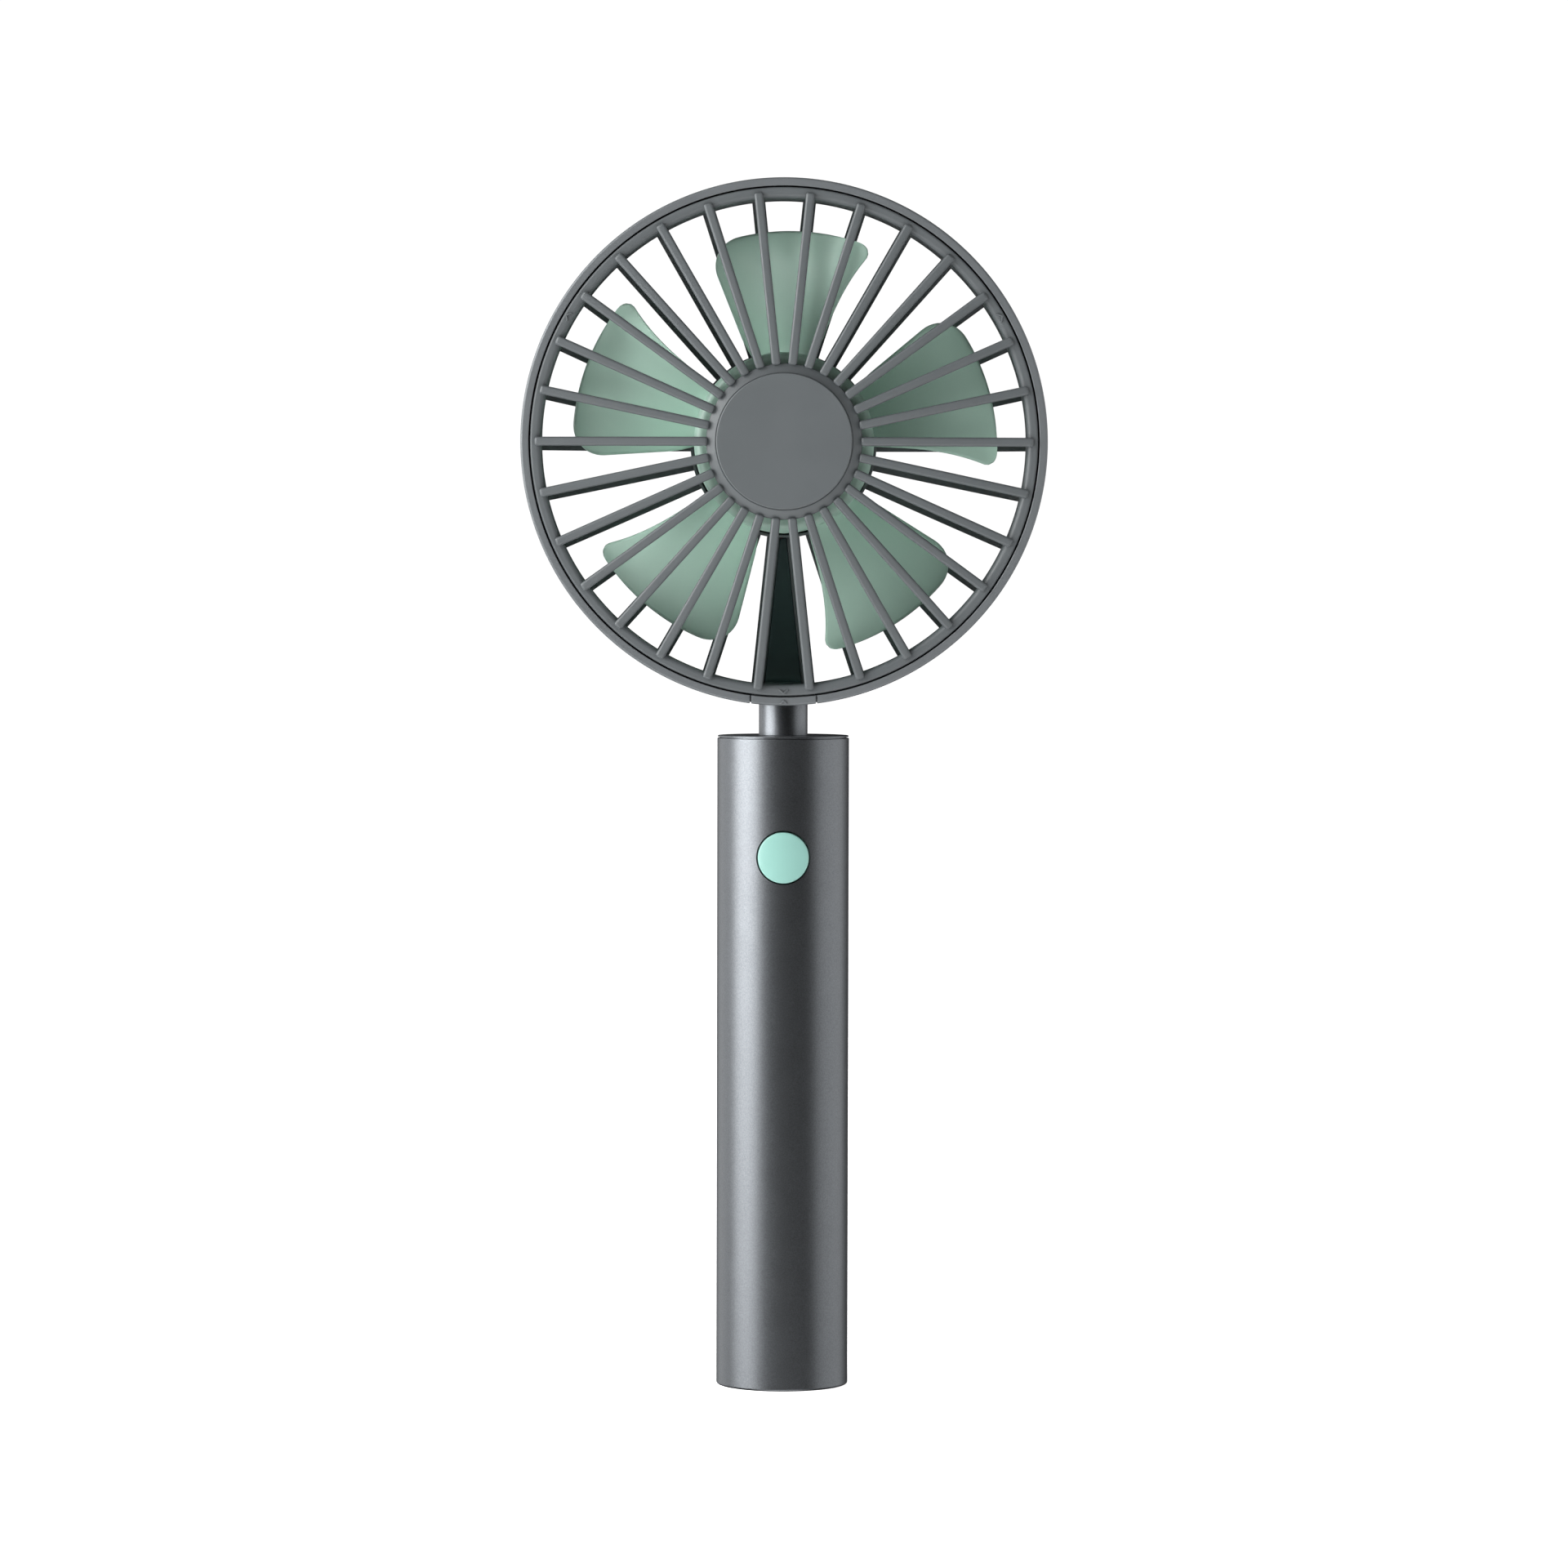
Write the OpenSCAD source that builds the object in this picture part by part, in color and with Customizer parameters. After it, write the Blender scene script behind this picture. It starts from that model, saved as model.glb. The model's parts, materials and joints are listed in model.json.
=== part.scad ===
// Handheld electric fan: round guarded head on a slim neck, and a tube handle.
// Origin: centre of the handle's bottom face. +Z up, and the air leaves towards -Y.

/* [Handle] */
// Outer diameter of the handle tube
handle_d = 25; // [25:0.1:26]
// Wall of the handle tube
handle_wall = 1.2; // [1:0.1:1.3]
// Height of the handle, with its top cap
handle_h = 123.55; // [123:0.05:126]
// Height of the button's centre above the base
button_z = 100.8; // [100:0.1:100.9]
// Diameter of the power button
button_d = 9.6; // [9:0.1:10]
// Travel of the power button
button_travel = 0.4; // [0.3:0.05:0.5]

/* [Head] */
// Outer diameter of the head hoop
head_d = 99.2; // [99:0.1:100]
// Depth of the head hoop, front to back
hoop_depth = 20; // [20:0.5:22]
// Clear neck between the handle and the head
neck_clear = 5.8; // [5:0.05:8]
// Diameter of the neck tube
neck_d = 9.25; // [9:0.05:9.5]
// Width of the neck block in the hoop's gap
block_w = 12.15; // [12:0.05:13]

/* [Guard] */
// Number of ribs in each guard
rib_count = 30; // [30]
// Width of a front rib
front_rib_w = 1.7; // [1.5:0.1:1.9]
// Width of a rear rib
rear_rib_w = 2.5; // [2:0.1:2.5]
// Width of the seam round the front cover
seam = 0.3; // [0.2:0.05:0.35]

/* [Impeller] */
// Number of blades
blade_count = 5; // [3:1:5]
// Tip radius of the blades
tip_r = 40.4; // [38:0.1:42]
// Radius of the impeller's hub
hub_r = 17; // [17:0.05:17.1]

/* [Hidden] */
$fn = 96;

eps = 0.01;
press = 0.05;

// Handle heights and radii
handle_r = handle_d / 2;
bore_r = handle_r - handle_wall;
cap_plate = 0.3;
cap_gap = 0.2;
tube_top = handle_h - cap_plate - cap_gap;
spigot_h = 2.25;
carrier_r = bore_r - 0.2;
carrier_wall = 1.5;
carrier_z0 = 3.5;
carrier_z1 = tube_top - spigot_h - 0.1;
port_z = 9.43;
guide_angle = 52;

// Battery: a standard 18650 cell
cell_r = 9.2;
cell_h = 65;
cell_z = 14.6;

// Main board and its switch, both facing the front
board_front = -3.5;
board_t = 1;
board_w = 17;
board_z0 = 84;
board_z1 = 111.5;
switch_w = 6.2;
switch_h = 3.5;
plunger_h = 1.2;
plunger_r = 1.7;
switch_face = board_front - switch_h;
button_flange_r = 5.9;
button_back = switch_face - plunger_h;

// Head: its own axis is Y, and depths along it are measured from the hoop's middle
ring_r = head_d / 2;
head_z = handle_h + neck_clear + ring_r;
half = hoop_depth / 2;
hoop_in = ring_r - 1.55;
wall_out = hoop_in - 0.15;
wall_in = wall_out - 1;
rim_out = hoop_in - seam;
rim_in = wall_in - 1.2;
skirt_out = wall_in - 0.3;
rib_step = 360 / rib_count;

// Rear guard dome: depth of its front face at a radius
dome_in = 17.8;
dome_span = 28.2;
dome_base = -16.2;
dome_rise = 7;
rib_h = 2.6;
cover_t = 0.6;
web_t = 0.8;
base_top = -16.5;
base_bottom = dome_base - rib_h;
cup_in = hub_r + 0.3;
cup_out = hub_r + 0.85;
function dome(r) = dome_base + dome_rise * pow(max(0, r - dome_in) / dome_span, 2);

// Front guard
rim_top = half;
rim_t = 2;
bar_end_r = 46.05;
bar_hub_r = 15.25;
bar_rise = 2.1;
bar_proud = 0.9;
hub_plate_r = 14.65;
lug_angles = [90, 210, 330];
lug_half = 4;
twist = 10;
mark_angles = [30, 150, 270];
function bar_top(r) = rim_top + bar_proud
    + bar_rise * (1 - pow((r - bar_hub_r) / (bar_end_r - bar_hub_r), 1.5));

// Motor, along the head's axis
shaft_r = 1;
tube_in = 2.6;
tube_out = 3.5;
stack_z = [-12.5, -4.5];
stator_r = 12.4;
magnet_in = 12.9;
magnet_out = 14.6;
cup_wall = 0.8;
rotor_r = magnet_out + cup_wall;
cup_top = -0.6;
hub_front = 7.5;
hub_back = -15.9;
teeth = 6;

// Wires
wire_r = 0.3;
wire_x = 0.35;
lead_r = 0.55;

// Puts a child drawn with +Z forwards and +Y up into the head
module at_head() {
    translate([0, 0, head_z]) rotate([90, 0, 0]) children();
}

// A ring between two radii and two depths
module ring(r_in, r_out, z0, z1) {
    rotate_extrude() translate([r_in, z0]) square([r_out - r_in, z1 - z0]);
}

// A wedge about +Z, from one angle to another
module wedge(r, a0, a1, z0, z1) {
    mid = (a0 + a1) / 2;
    translate([0, 0, z0]) linear_extrude(z1 - z0)
        polygon([[0, 0], r * [cos(a0), sin(a0)], 1.1 * r * [cos(mid), sin(mid)],
                 r * [cos(a1), sin(a1)]]);
}

// A slab of one thickness whose outline lies in the radius and depth plane
module fin(points, thick) {
    rotate([90, 0, 0]) linear_extrude(thick, center = true) polygon(points);
}

// A flat bar with round ends, its length along X
module stadium(len, high, depth) {
    translate([0, 0, depth / 2]) cube([len - high, high, depth], center = true);
    for (s = [-1, 1]) translate([s * (len - high) / 2, 0, 0]) cylinder(d = high, h = depth);
}

// A wire through points that lie in one plane, or nearly, that holds the X direction
function unit(v) = v / norm(v);
module wire(points, r) {
    sides = 8;
    last = len(points) - 1;
    rings = [for (i = [0 : last])
        let (before = unit(points[max(i, 1)] - points[max(i, 1) - 1]),
             after = unit(points[min(i, last - 1) + 1] - points[min(i, last - 1)]),
             along = unit(before + after),
             across = unit([1, 0, 0] - along.x * along),
             up = cross(along, across) / (along * after))
        for (k = [0 : sides - 1])
            points[i] + r * (cos(360 * k / sides) * across + sin(360 * k / sides) * up)];
    polyhedron(points = rings, faces = concat(
        [[for (k = [0 : sides - 1]) k]],
        [for (i = [0 : last - 1], k = [0 : sides - 1])
            let (a = i * sides + k, b = i * sides + (k + 1) % sides)
            for (f = [[a, a + sides, b], [b, a + sides, b + sides]]) f],
        [[for (k = [sides - 1 : -1 : 0]) last * sides + k]]));
}

// A small screw, its head at the origin and its shank along -Z
module screw(head_r, head_h, shank_r, shank_h) {
    difference() {
        cylinder(r = head_r, h = head_h);
        for (a = [0, 90]) rotate(a)
            translate([0, 0, head_h]) cube([head_r * 1.1, head_r * 0.28, head_h], center = true);
    }
    translate([0, 0, -shank_h]) cylinder(r = shank_r, h = shank_h + eps);
}

// Handle

module handle_tube() color("#5a5f64") difference() {
    rotate_extrude() polygon([
        [bore_r, 0], [handle_r - 0.4, 0], [handle_r - 0.2, 0.05], [handle_r - 0.05, 0.2],
        [handle_r, 0.4], [handle_r, tube_top - 0.15], [handle_r - 0.15, tube_top],
        [bore_r, tube_top]]);
    translate([0, 0, button_z]) rotate([90, 0, 0])
        cylinder(d = button_d + 2 * seam, h = handle_r + 1);
    translate([0, bore_r - 3, port_z]) rotate([-90, 0, 0]) stadium(9.5, 3.8, 6);
    translate([0, 0, port_z]) rotate([-90, 0, -guide_angle]) cylinder(r = 0.75, h = handle_r + 1);
}

module top_cap() color("#6a6f74") rotate_extrude() polygon([
    [neck_d / 2 - 0.625, tube_top - spigot_h], [bore_r - press, tube_top - spigot_h],
    [bore_r - press, tube_top], [handle_r - 0.5, tube_top], [handle_r - 0.5, tube_top + cap_gap],
    [handle_r - 0.1, tube_top + cap_gap], [handle_r - 0.1, handle_h - 0.15],
    [handle_r - 0.3, handle_h], [neck_d / 2 - 0.625, handle_h]]);

module bottom_cap() color("#55595d") difference() {
    ring(0, bore_r - press, 0, 3.2);
    translate([0, 0, -1]) cylinder(r = 8.55, h = 1.8);
    translate([0, 0, -1]) cylinder(r = 2.2, h = 3);
    translate([0, 0, -1]) cylinder(r = 1.1, h = 6);
}

module foot_pad() color("#2b2d2f") cylinder(r = 8.5, h = 0.75);

module cap_screw() color("#b4b8bc") translate([0, 0, 2]) rotate([180, 0, 0])
    screw(2, 1.1, 1, 3.2);

module inner_carrier() color("#d9d9d4") difference() {
    union() {
        intersection() {
            ring(carrier_r - carrier_wall, carrier_r, carrier_z0, carrier_z1);
            translate([-handle_r, 0, 0]) cube([handle_d, handle_r, handle_h]);
        }
        translate([0, 0, carrier_z0]) cylinder(r = carrier_r, h = 2);
        for (s = [-1, 1]) translate([s * 8, -4, carrier_z0]) cylinder(r = 1.3, h = 3.1);
        intersection() {
            union() {
                translate([0, 0, 12.6]) cylinder(r = carrier_r, h = 1.4);
                translate([0, 0, 82]) cylinder(r = carrier_r, h = 1.4);
            }
            translate([-handle_r, -7.5, 0]) cube([handle_d, 2 * handle_r, handle_h]);
        }
        for (z = [board_z0 + 2.5, board_z1 - 2.5])
            translate([0, carrier_r - 1, z]) rotate([90, 0, 0])
                cylinder(r = 1.8, h = carrier_r - 1 - board_front - board_t);
    }
    translate([0, 0, carrier_z0 - 1]) cylinder(r = 1, h = 5);
    translate([-9.8, 3, carrier_z0 + 2]) cube([19.6, 10, 7.1]);
    for (z = [board_z0 + 2.5, board_z1 - 2.5])
        translate([0, 3, z]) rotate([90, 0, 0]) cylinder(r = 0.8, h = 10);
}

module battery_cell() color("#3f6f8f") {
    translate([0, 0, cell_z]) ring(0, cell_r, 0, cell_h - 1.2);
    translate([0, 0, cell_z + cell_h - 1.2 - eps]) cylinder(r = 4.2, h = 1.2 + eps);
}

module cell_foam() color("#44474a") for (z = [24, 62]) translate([0, 0, z]) intersection() {
    ring(cell_r, carrier_r - carrier_wall, 0, 9);
    wedge(handle_r, 55, 125, -1, 10);
}

module cell_tabs() color("#c9c9c4") {
    translate([-3, -9.35, cell_z - 0.3]) cube([6, 12.35, 0.3]);
    translate([-3, -6, cell_z + cell_h]) cube([6, 9, 0.3]);
}

module main_board() color("#2f6b4a") difference() {
    translate([-board_w / 2, board_front, board_z0]) cube([board_w, board_t, board_z1 - board_z0]);
    for (z = [board_z0 + 2.5, board_z1 - 2.5])
        translate([0, 3, z]) rotate([90, 0, 0]) cylinder(r = 0.85, h = 10);
}

module board_parts() color("#25282b") {
    for (x = [-8, 5]) translate([x, board_front - 1.2, board_z0 + 0.5]) cube([3, 1.2, 3]);
    translate([-7, board_front - 0.9, 108.4]) cube([3.2, 0.9, 1.6]);
    translate([3.6, board_front - 1.6, 108]) cube([3.5, 1.6, 2.8]);
    translate([-2.5, board_front + board_t, 97]) cube([5, 1.1, 5]);
    for (x = [-6.5, 4.9]) translate([x, board_front + board_t, 104]) cube([1.6, 0.8, 0.8]);
    translate([-5.5, board_front + board_t, 92]) rotate([-90, 0, 0]) cylinder(r = 2.4, h = 2.6);
}

module board_screws() color("#b4b8bc") for (z = [board_z0 + 2.5, board_z1 - 2.5])
    translate([0, board_front, z]) rotate([90, 0, 0]) screw(1.5, 0.9, 0.8, 5);

module tact_switch() color("#303336") difference() {
    translate([-switch_w / 2, switch_face, button_z - switch_w / 2])
        cube([switch_w, switch_h, switch_w]);
    translate([0, switch_face + 1.4, button_z]) rotate([90, 0, 0])
        cylinder(r = plunger_r + 0.1, h = 3);
}

module switch_plunger() color("#e4e2da") translate([0, button_back, button_z])
    rotate([-90, 0, 0]) cylinder(r = plunger_r, h = plunger_h + 0.8);

module power_button() color("#9bd4c6") {
    intersection() {
        translate([0, -9, button_z]) rotate([90, 0, 0]) cylinder(d = button_d, h = 5);
        translate([0, 0, button_z - 10]) cylinder(r = handle_r + 0.45, h = 20);
    }
    translate([0, -8.6, button_z]) rotate([90, 0, 0]) cylinder(r = button_flange_r, h = 0.8);
    translate([0, button_back, button_z]) rotate([90, 0, 0])
        cylinder(r = 1.5, h = -8.6 - button_back + 1);
}

module button_guide() color("#3a3d40") translate([0, board_front, button_z])
    rotate([90, 0, 0]) ring(6.15, 6.6, 0, 4.9);

module charge_board() color("#2f6b4a") translate([0, 0, 6.6]) intersection() {
    cylinder(r = carrier_r - carrier_wall - 0.2, h = 1);
    translate([-handle_r, -8, -1]) cube([handle_d, handle_r + 7.5, 3]);
}

module usb_socket() color("#c3c6c9") difference() {
    translate([0, 4.3, port_z]) rotate([-90, 0, 0]) stadium(8.94, 3.26, 7.35);
    translate([0, 4.8, port_z]) rotate([-90, 0, 0]) stadium(8.34, 2.66, 8);
}

module usb_tongue() color("#232528") translate([-3.3, 4.8, port_z - 0.35])
    cube([6.6, 5.4, 0.7]);

module charge_led() color("#eef2ee") rotate(-guide_angle)
    translate([-0.8, 7.4, 7.6]) cube([1.6, 1.2, 2.4]);

module light_guide() color("#e8eeee") translate([0, 0, port_z]) rotate([-90, 0, -guide_angle])
    translate([0, 0, 8.6]) cylinder(r = 0.7, h = handle_r - 8.65, $fn = 48);

// Leads in the handle run up the front of the cell and end on the main board
pad_z = board_z0 + 5.5;
pad_y = board_front - lead_r;
function rise(x, z0) =
    let (y = -sqrt(pow(10.2, 2) - x * x))
    [[x, y, z0], [x, y, pad_z - 3], [x, pad_y, pad_z - 1], [x, pad_y, pad_z]];

module battery_lead_red() color("#b03028")
    wire([[-2.4, -3, cell_z + cell_h + 0.3 + lead_r], [-2.4, -8, cell_z + cell_h + 1.2],
          [-2.4, -8.6, 84], [-2.4, pad_y, pad_z - 1], [-2.4, pad_y, pad_z]], lead_r);

module battery_lead_black() color("#222426") wire(rise(2.4, cell_z - 0.5), lead_r);

module charge_lead_red() color("#b03028")
    wire(concat([[-5, -6, 7.6 + lead_r]], rise(-5, 9.5)), lead_r);

module charge_lead_black() color("#222426")
    wire(concat([[5, -6, 7.6 + lead_r]], rise(5, 9.5)), lead_r);

// Neck

module neck_tube() color("#64696e") difference() {
    union() {
        translate([0, 0, handle_h]) cylinder(d = neck_d, h = neck_clear + 2.6);
        translate([0, 0, handle_h - 10]) cylinder(d = neck_d - 1.25, h = 10 + eps);
        translate([0, 0, handle_h + neck_clear + 1.9]) cylinder(r = 5.5, h = 0.7);
    }
    translate([0, 0, handle_h - 11]) cylinder(r = 3.1, h = neck_clear + 15);
}

module neck_nut() color("#b4b8bc") difference() {
    translate([0, 0, tube_top - spigot_h - 3]) cylinder(r = 6.3, h = 3, $fn = 6);
    translate([0, 0, tube_top - spigot_h - 4]) cylinder(d = neck_d - 1.25, h = 5);
}

module neck_block() color("#6c7176") difference() {
    at_head() union() {
        intersection() {
            rotate_extrude() polygon([
                [hoop_in, -half], [ring_r - 0.35, -half], [ring_r, -half + 0.35],
                [ring_r, half - 0.35], [ring_r - 0.35, half], [hoop_in, half]]);
            translate([-block_w / 2, -60, -20]) cube([block_w, 60, 40]);
        }
        intersection() {
            ring(wall_in + 0.05, hoop_in + eps, -half, rim_top - rim_t - 0.3);
            translate([-block_w / 2 + 0.2, -60, -20]) cube([block_w - 0.4, 60, 40]);
        }
        translate([0, -(hoop_in + ring_r) / 2, half]) scale([0.75, 0.75, 1]) mark(1);
    }
    translate([0, 0, handle_h]) cylinder(d = neck_d, h = neck_clear + 3);
    translate([0, 0, handle_h + neck_clear + 1.9]) cylinder(r = 5.5, h = 0.7);
    translate([0, 0, handle_h]) cylinder(r = 2, h = 20);
    for (s = [-1, 1]) translate([s * 4.2, half + 1, head_z - 48.35]) rotate([90, 0, 0])
        cylinder(r = 0.8, h = 5.5);
}

module neck_screws() color("#b4b8bc") for (s = [-1, 1])
    translate([s * 4.2, half + 0.9, head_z - 48.35]) rotate([-90, 0, 0])
        screw(1.25, 0.8, 0.8, 5);

// A small raised arrow head that points along Y
module mark(way) {
    for (s = [-1, 1]) translate([s * 0.5, 0, 0.04]) rotate(-s * way * 42)
        cube([1.35, 0.22, 0.16], center = true);
}

// Head

module head_ring() color("#6c7176") at_head() difference() {
    rotate_extrude() polygon([
        [hoop_in, -half], [ring_r - 0.35, -half], [ring_r, -half + 0.35],
        [ring_r, half - 0.35], [ring_r - 0.35, half], [hoop_in, half]]);
    translate([-block_w / 2 - seam, -60, -20]) cube([block_w + 2 * seam, 60, 40]);
}

// Points of the rear guard's dome, moved back by a depth
function dome_line(r0, r1, back, n) =
    [for (i = [0 : n]) let (r = r0 + (r1 - r0) * i / n) [r, dome(r) - back]];
function reversed(list) = [for (i = [len(list) - 1 : -1 : 0]) list[i]];

module rear_rib() fin(concat(
    dome_line(cup_out - 0.3, wall_in + 0.3, rib_h, 8),
    reversed(dome_line(cup_out - 0.3, wall_in + 0.3, 0, 8))), rear_rib_w);

// The panel behind the wires, between the two lowest ribs
module wire_web() intersection() {
    rotate_extrude() polygon(concat(
        dome_line(cup_out - 0.3, wall_in + 0.3, rib_h, 8),
        reversed(dome_line(cup_out - 0.3, wall_in + 0.3, rib_h - web_t, 8))));
    wedge(60, 270 - rib_step / 2, 270 + rib_step / 2, -30, 10);
}

// A slot that lets a lug in from the front and holds it once it is turned
module lug_slot(a) rotate(a) {
    intersection() {
        ring(wall_in - 1, wall_in + 0.55, 2.8, 4.7);
        wedge(60, -lug_half - 0.5, twist + lug_half + 0.5, 0, 10);
    }
    intersection() {
        ring(wall_in - 1, wall_in + 0.55, 2.8, 12);
        wedge(60, twist - lug_half - 0.5, twist + lug_half + 0.5, 0, 20);
    }
}

module rear_grille() color("#62676b") at_head() difference() {
    union() {
        ring(wall_in, wall_out, -half - 0.1, rim_top - rim_t - 0.3);
        rotate_extrude() polygon([
            [wall_in - 0.5, -half - 1.7], [ring_r - 0.9, -half - 1.7], [ring_r - 0.4, -half - 1.2],
            [ring_r - 0.4, -half - 0.1], [wall_in - 0.5, -half - 0.1]]);
        ring(cup_in, cup_out, base_bottom, -13);
        ring(tube_out, cup_out, base_bottom, base_top);
        for (i = [0 : rib_count - 1]) rotate((i + 0.5) * rib_step + 90) rear_rib();
        wire_web();
    }
    translate([0, 0, base_bottom - 1]) cylinder(r = 9, h = 1.6);
    for (a = lug_angles) lug_slot(a);
    translate([-block_w / 2 + 0.15, -60, -half - 0.1]) cube([block_w - 0.3, 20, 30]);
    translate([-0.9, -cup_out, base_bottom + 0.9]) cube([1.8, cup_out - 9.4, 1.6]);
    for (s = [-1, 1]) translate([s * 4.2, -48.35, -half - 0.9]) {
        cylinder(r = 0.85, h = 3);
        translate([0, 0, -2]) cylinder(r = 1.35, h = 2);
    }
}

module wire_cover() color("#2c3a3c") at_head() intersection() {
    rotate_extrude() polygon(concat(
        dome_line(cup_out + 0.1, 45.4, 0, 8),
        [[45.5, 1.5], [46.1, 1.5], [46.1, -9.4], [45.6, -9.9]],
        reversed(dome_line(cup_out + 0.1, 45.4, cover_t, 8))));
    gap = rib_step / 2;
    translate([0, 0, -30]) linear_extrude(60) polygon([
        for (s = [-1, 1], e = [-1, 1]) let (r = 32.5 + s * e * 15.5)
            [s * (r * sin(gap) - rear_rib_w / 2 / cos(gap)), -r]]);
}

module rear_cap() color("#62676b") at_head() rotate_extrude() polygon([
    [0, base_bottom - 0.4], [8.6, base_bottom - 0.4], [8.9, base_bottom - 0.1],
    [8.9, base_bottom + 0.6], [0, base_bottom + 0.6]]);

// Motor

module bearing_tube() color("#c2a15a") at_head() {
    ring(tube_in, tube_out, base_bottom + 0.8, -3);
    ring(tube_out - eps, 5.5, base_top, base_top + 0.6);
}

module sleeve_bearing() color("#a9793e") at_head() ring(shaft_r + 0.03, tube_in, -15.5, -5.5);

module thrust_pad() color("#e9e6da") at_head()
    translate([0, 0, -17.3]) cylinder(r = tube_in, h = 0.95);

// Outline of the stator with its six teeth
module stator_outline(grow) {
    difference() {
        union() {
            circle(r = 5.6 + grow);
            for (i = [0 : teeth - 1]) rotate(i * 360 / teeth)
                translate([0, -1.2 - grow]) square([stator_r - 0.6, 2.4 + 2 * grow]);
            for (i = [0 : teeth - 1]) rotate(i * 360 / teeth) intersection() {
                difference() {
                    circle(r = stator_r);
                    circle(r = stator_r - 1.4 - grow);
                }
                polygon([[0, 0], [20, 20 * tan(24)], [20, -20 * tan(24)]]);
            }
        }
        circle(r = tube_out);
    }
}

module stator_core() color("#8d9194") at_head() translate([0, 0, stack_z[0]])
    linear_extrude(stack_z[1] - stack_z[0]) stator_outline(0);

module stator_insulators() color("#2f3c34") at_head()
    for (z = [stack_z[0] - 0.8, stack_z[1]]) translate([0, 0, z])
        linear_extrude(0.8) stator_outline(0.1);

module stator_coils() color("#b5642f") at_head() for (i = [0 : teeth - 1]) rotate(i * 360 / teeth)
    translate([6.6, 0, (stack_z[0] + stack_z[1]) / 2]) difference() {
        translate([0, -2.3, -5.6]) cube([3.8, 4.6, 11.2]);
        translate([-1, -1.35, -4.8]) cube([6, 2.7, 9.6]);
    }

module motor_board() color("#2f6b4a") at_head() ring(5.8, 14.8, base_top, base_top + 0.8);

module motor_chips() color("#25282b") at_head() {
    translate([7.2, -1.5, base_top + 0.8]) cube([3.9, 3, 0.9]);
    translate([-1.6, 8.2, base_top + 0.8]) cube([3.2, 1.6, 1]);
    translate([-10.5, -2, base_top + 0.8]) cube([1.6, 4, 0.9]);
}

// Motor leads: out along the panel's channel, forward along the wall, down the neck
function lead_path(x) = concat(
    [[x, -10, base_top], [x, -10, base_top - 0.9]],
    [for (r = [19.6 : 3 : 43.6]) [x, -r, dome(r) - 1.2]],
    [[x, -44.6, -11.4], [x, -46.5, -9.6], [x, -46.5, 0], [x, board_z1 - 0.3 - head_z, 0],
     [x, board_z1 - 0.3 - head_z, -board_front - board_t]]);

module motor_lead(x) at_head() wire(lead_path(x), wire_r);

module motor_lead_red() color("#b03028") motor_lead(-wire_x);

module motor_lead_black() color("#222426") motor_lead(wire_x);

// Rotor

// Edges of a blade at a radius, in degrees from its middle: s = 1 leads, s = -1 trails
function blade_edge(r, s) = s > 0
    ? 21.6 - 2 * pow(max(0, 22 - r) / 5, 2) - 8 * pow(max(0, r - tip_r + 4.4) / 4.4, 3)
    : -20.6 - 3.9 * pow(max(0, r - 22) / 17, 2) + 1.5 * pow(max(0, r - tip_r + 1.2) / 1.2, 3);

// Depth of a blade's middle surface: it rises from the rear edge to the front one
function blade_depth(r, t) =
    let (k = (r - 16) / (tip_r - 16))
    -11.5 + 2.5 * k + (16 - 5 * k) * (0.82 * t + 0.18 * t * t);

module blade() {
    nr = 10;
    nt = 8;
    top = [for (i = [0 : nr], j = [0 : nt])
        let (r = 16.2 + (tip_r - 16.2) * sin(90 * i / nr), t = j / nt,
             a = blade_edge(r, 1) * (1 - t) + blade_edge(r, -1) * t)
        [r * cos(a), r * sin(a), blade_depth(r, t) + 0.55]];
    low = [for (p = top) p - [0, 0, 1.1]];
    m = nt + 1;
    n = len(top);
    quads = concat(
        [for (i = [0 : nr - 1], j = [0 : nt - 1]) let (a = i * m + j) [a, a + m, a + m + 1, a + 1]],
        [for (i = [0 : nr - 1], j = [0 : nt - 1]) let (a = n + i * m + j)
            [a, a + 1, a + m + 1, a + m]],
        [for (i = [0 : nr - 1]) let (a = i * m) [a, n + a, n + a + m, a + m]],
        [for (i = [0 : nr - 1]) let (a = i * m + nt) [a, a + m, n + a + m, n + a]],
        [for (j = [0 : nt - 1]) [j, j + 1, n + j + 1, n + j]],
        [for (j = [0 : nt - 1]) let (a = nr * m + j) [a, n + a, n + a + 1, a + 1]]);
    polyhedron(points = concat(top, low),
        faces = [for (q = quads, f = [[q[0], q[1], q[2]], [q[0], q[2], q[3]]]) f]);
}

module impeller() color("#a8c8bc") at_head() {
    rotate_extrude() polygon([
        [rotor_r, hub_back], [hub_r, hub_back], [hub_r, hub_front - 1.6],
        [hub_r - 0.5, hub_front - 0.5], [hub_r - 1.6, hub_front], [0, hub_front],
        [0, 4], [shaft_r, 4], [shaft_r, cup_top], [2.8, cup_top], [2.8, hub_front - 1.3],
        [rotor_r, hub_front - 1.3]]);
    for (i = [0 : blade_count - 1]) rotate(90 + i * 360 / blade_count) blade();
}

module rotor_cup() color("#9a9ea1") at_head() {
    ring(magnet_out, rotor_r, -15.2, cup_top - cup_wall + eps);
    ring(shaft_r, rotor_r, cup_top - cup_wall, cup_top);
}

module magnet_ring() color("#3b3d40") at_head() ring(magnet_in, magnet_out, -14.6, -2.6);

module motor_shaft() color("#c8cbce") at_head() difference() {
    translate([0, 0, -16.3]) cylinder(r = shaft_r, h = 20.3);
    ring(shaft_r - 0.25, shaft_r + 1, -16, -15.7);
}

module shaft_clip() color("#b4b8bc") at_head() difference() {
    ring(shaft_r - 0.25, 1.9, -16, -15.7);
    translate([0, -0.5, -17]) cube([5, 1, 3]);
}

// Front cover

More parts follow.
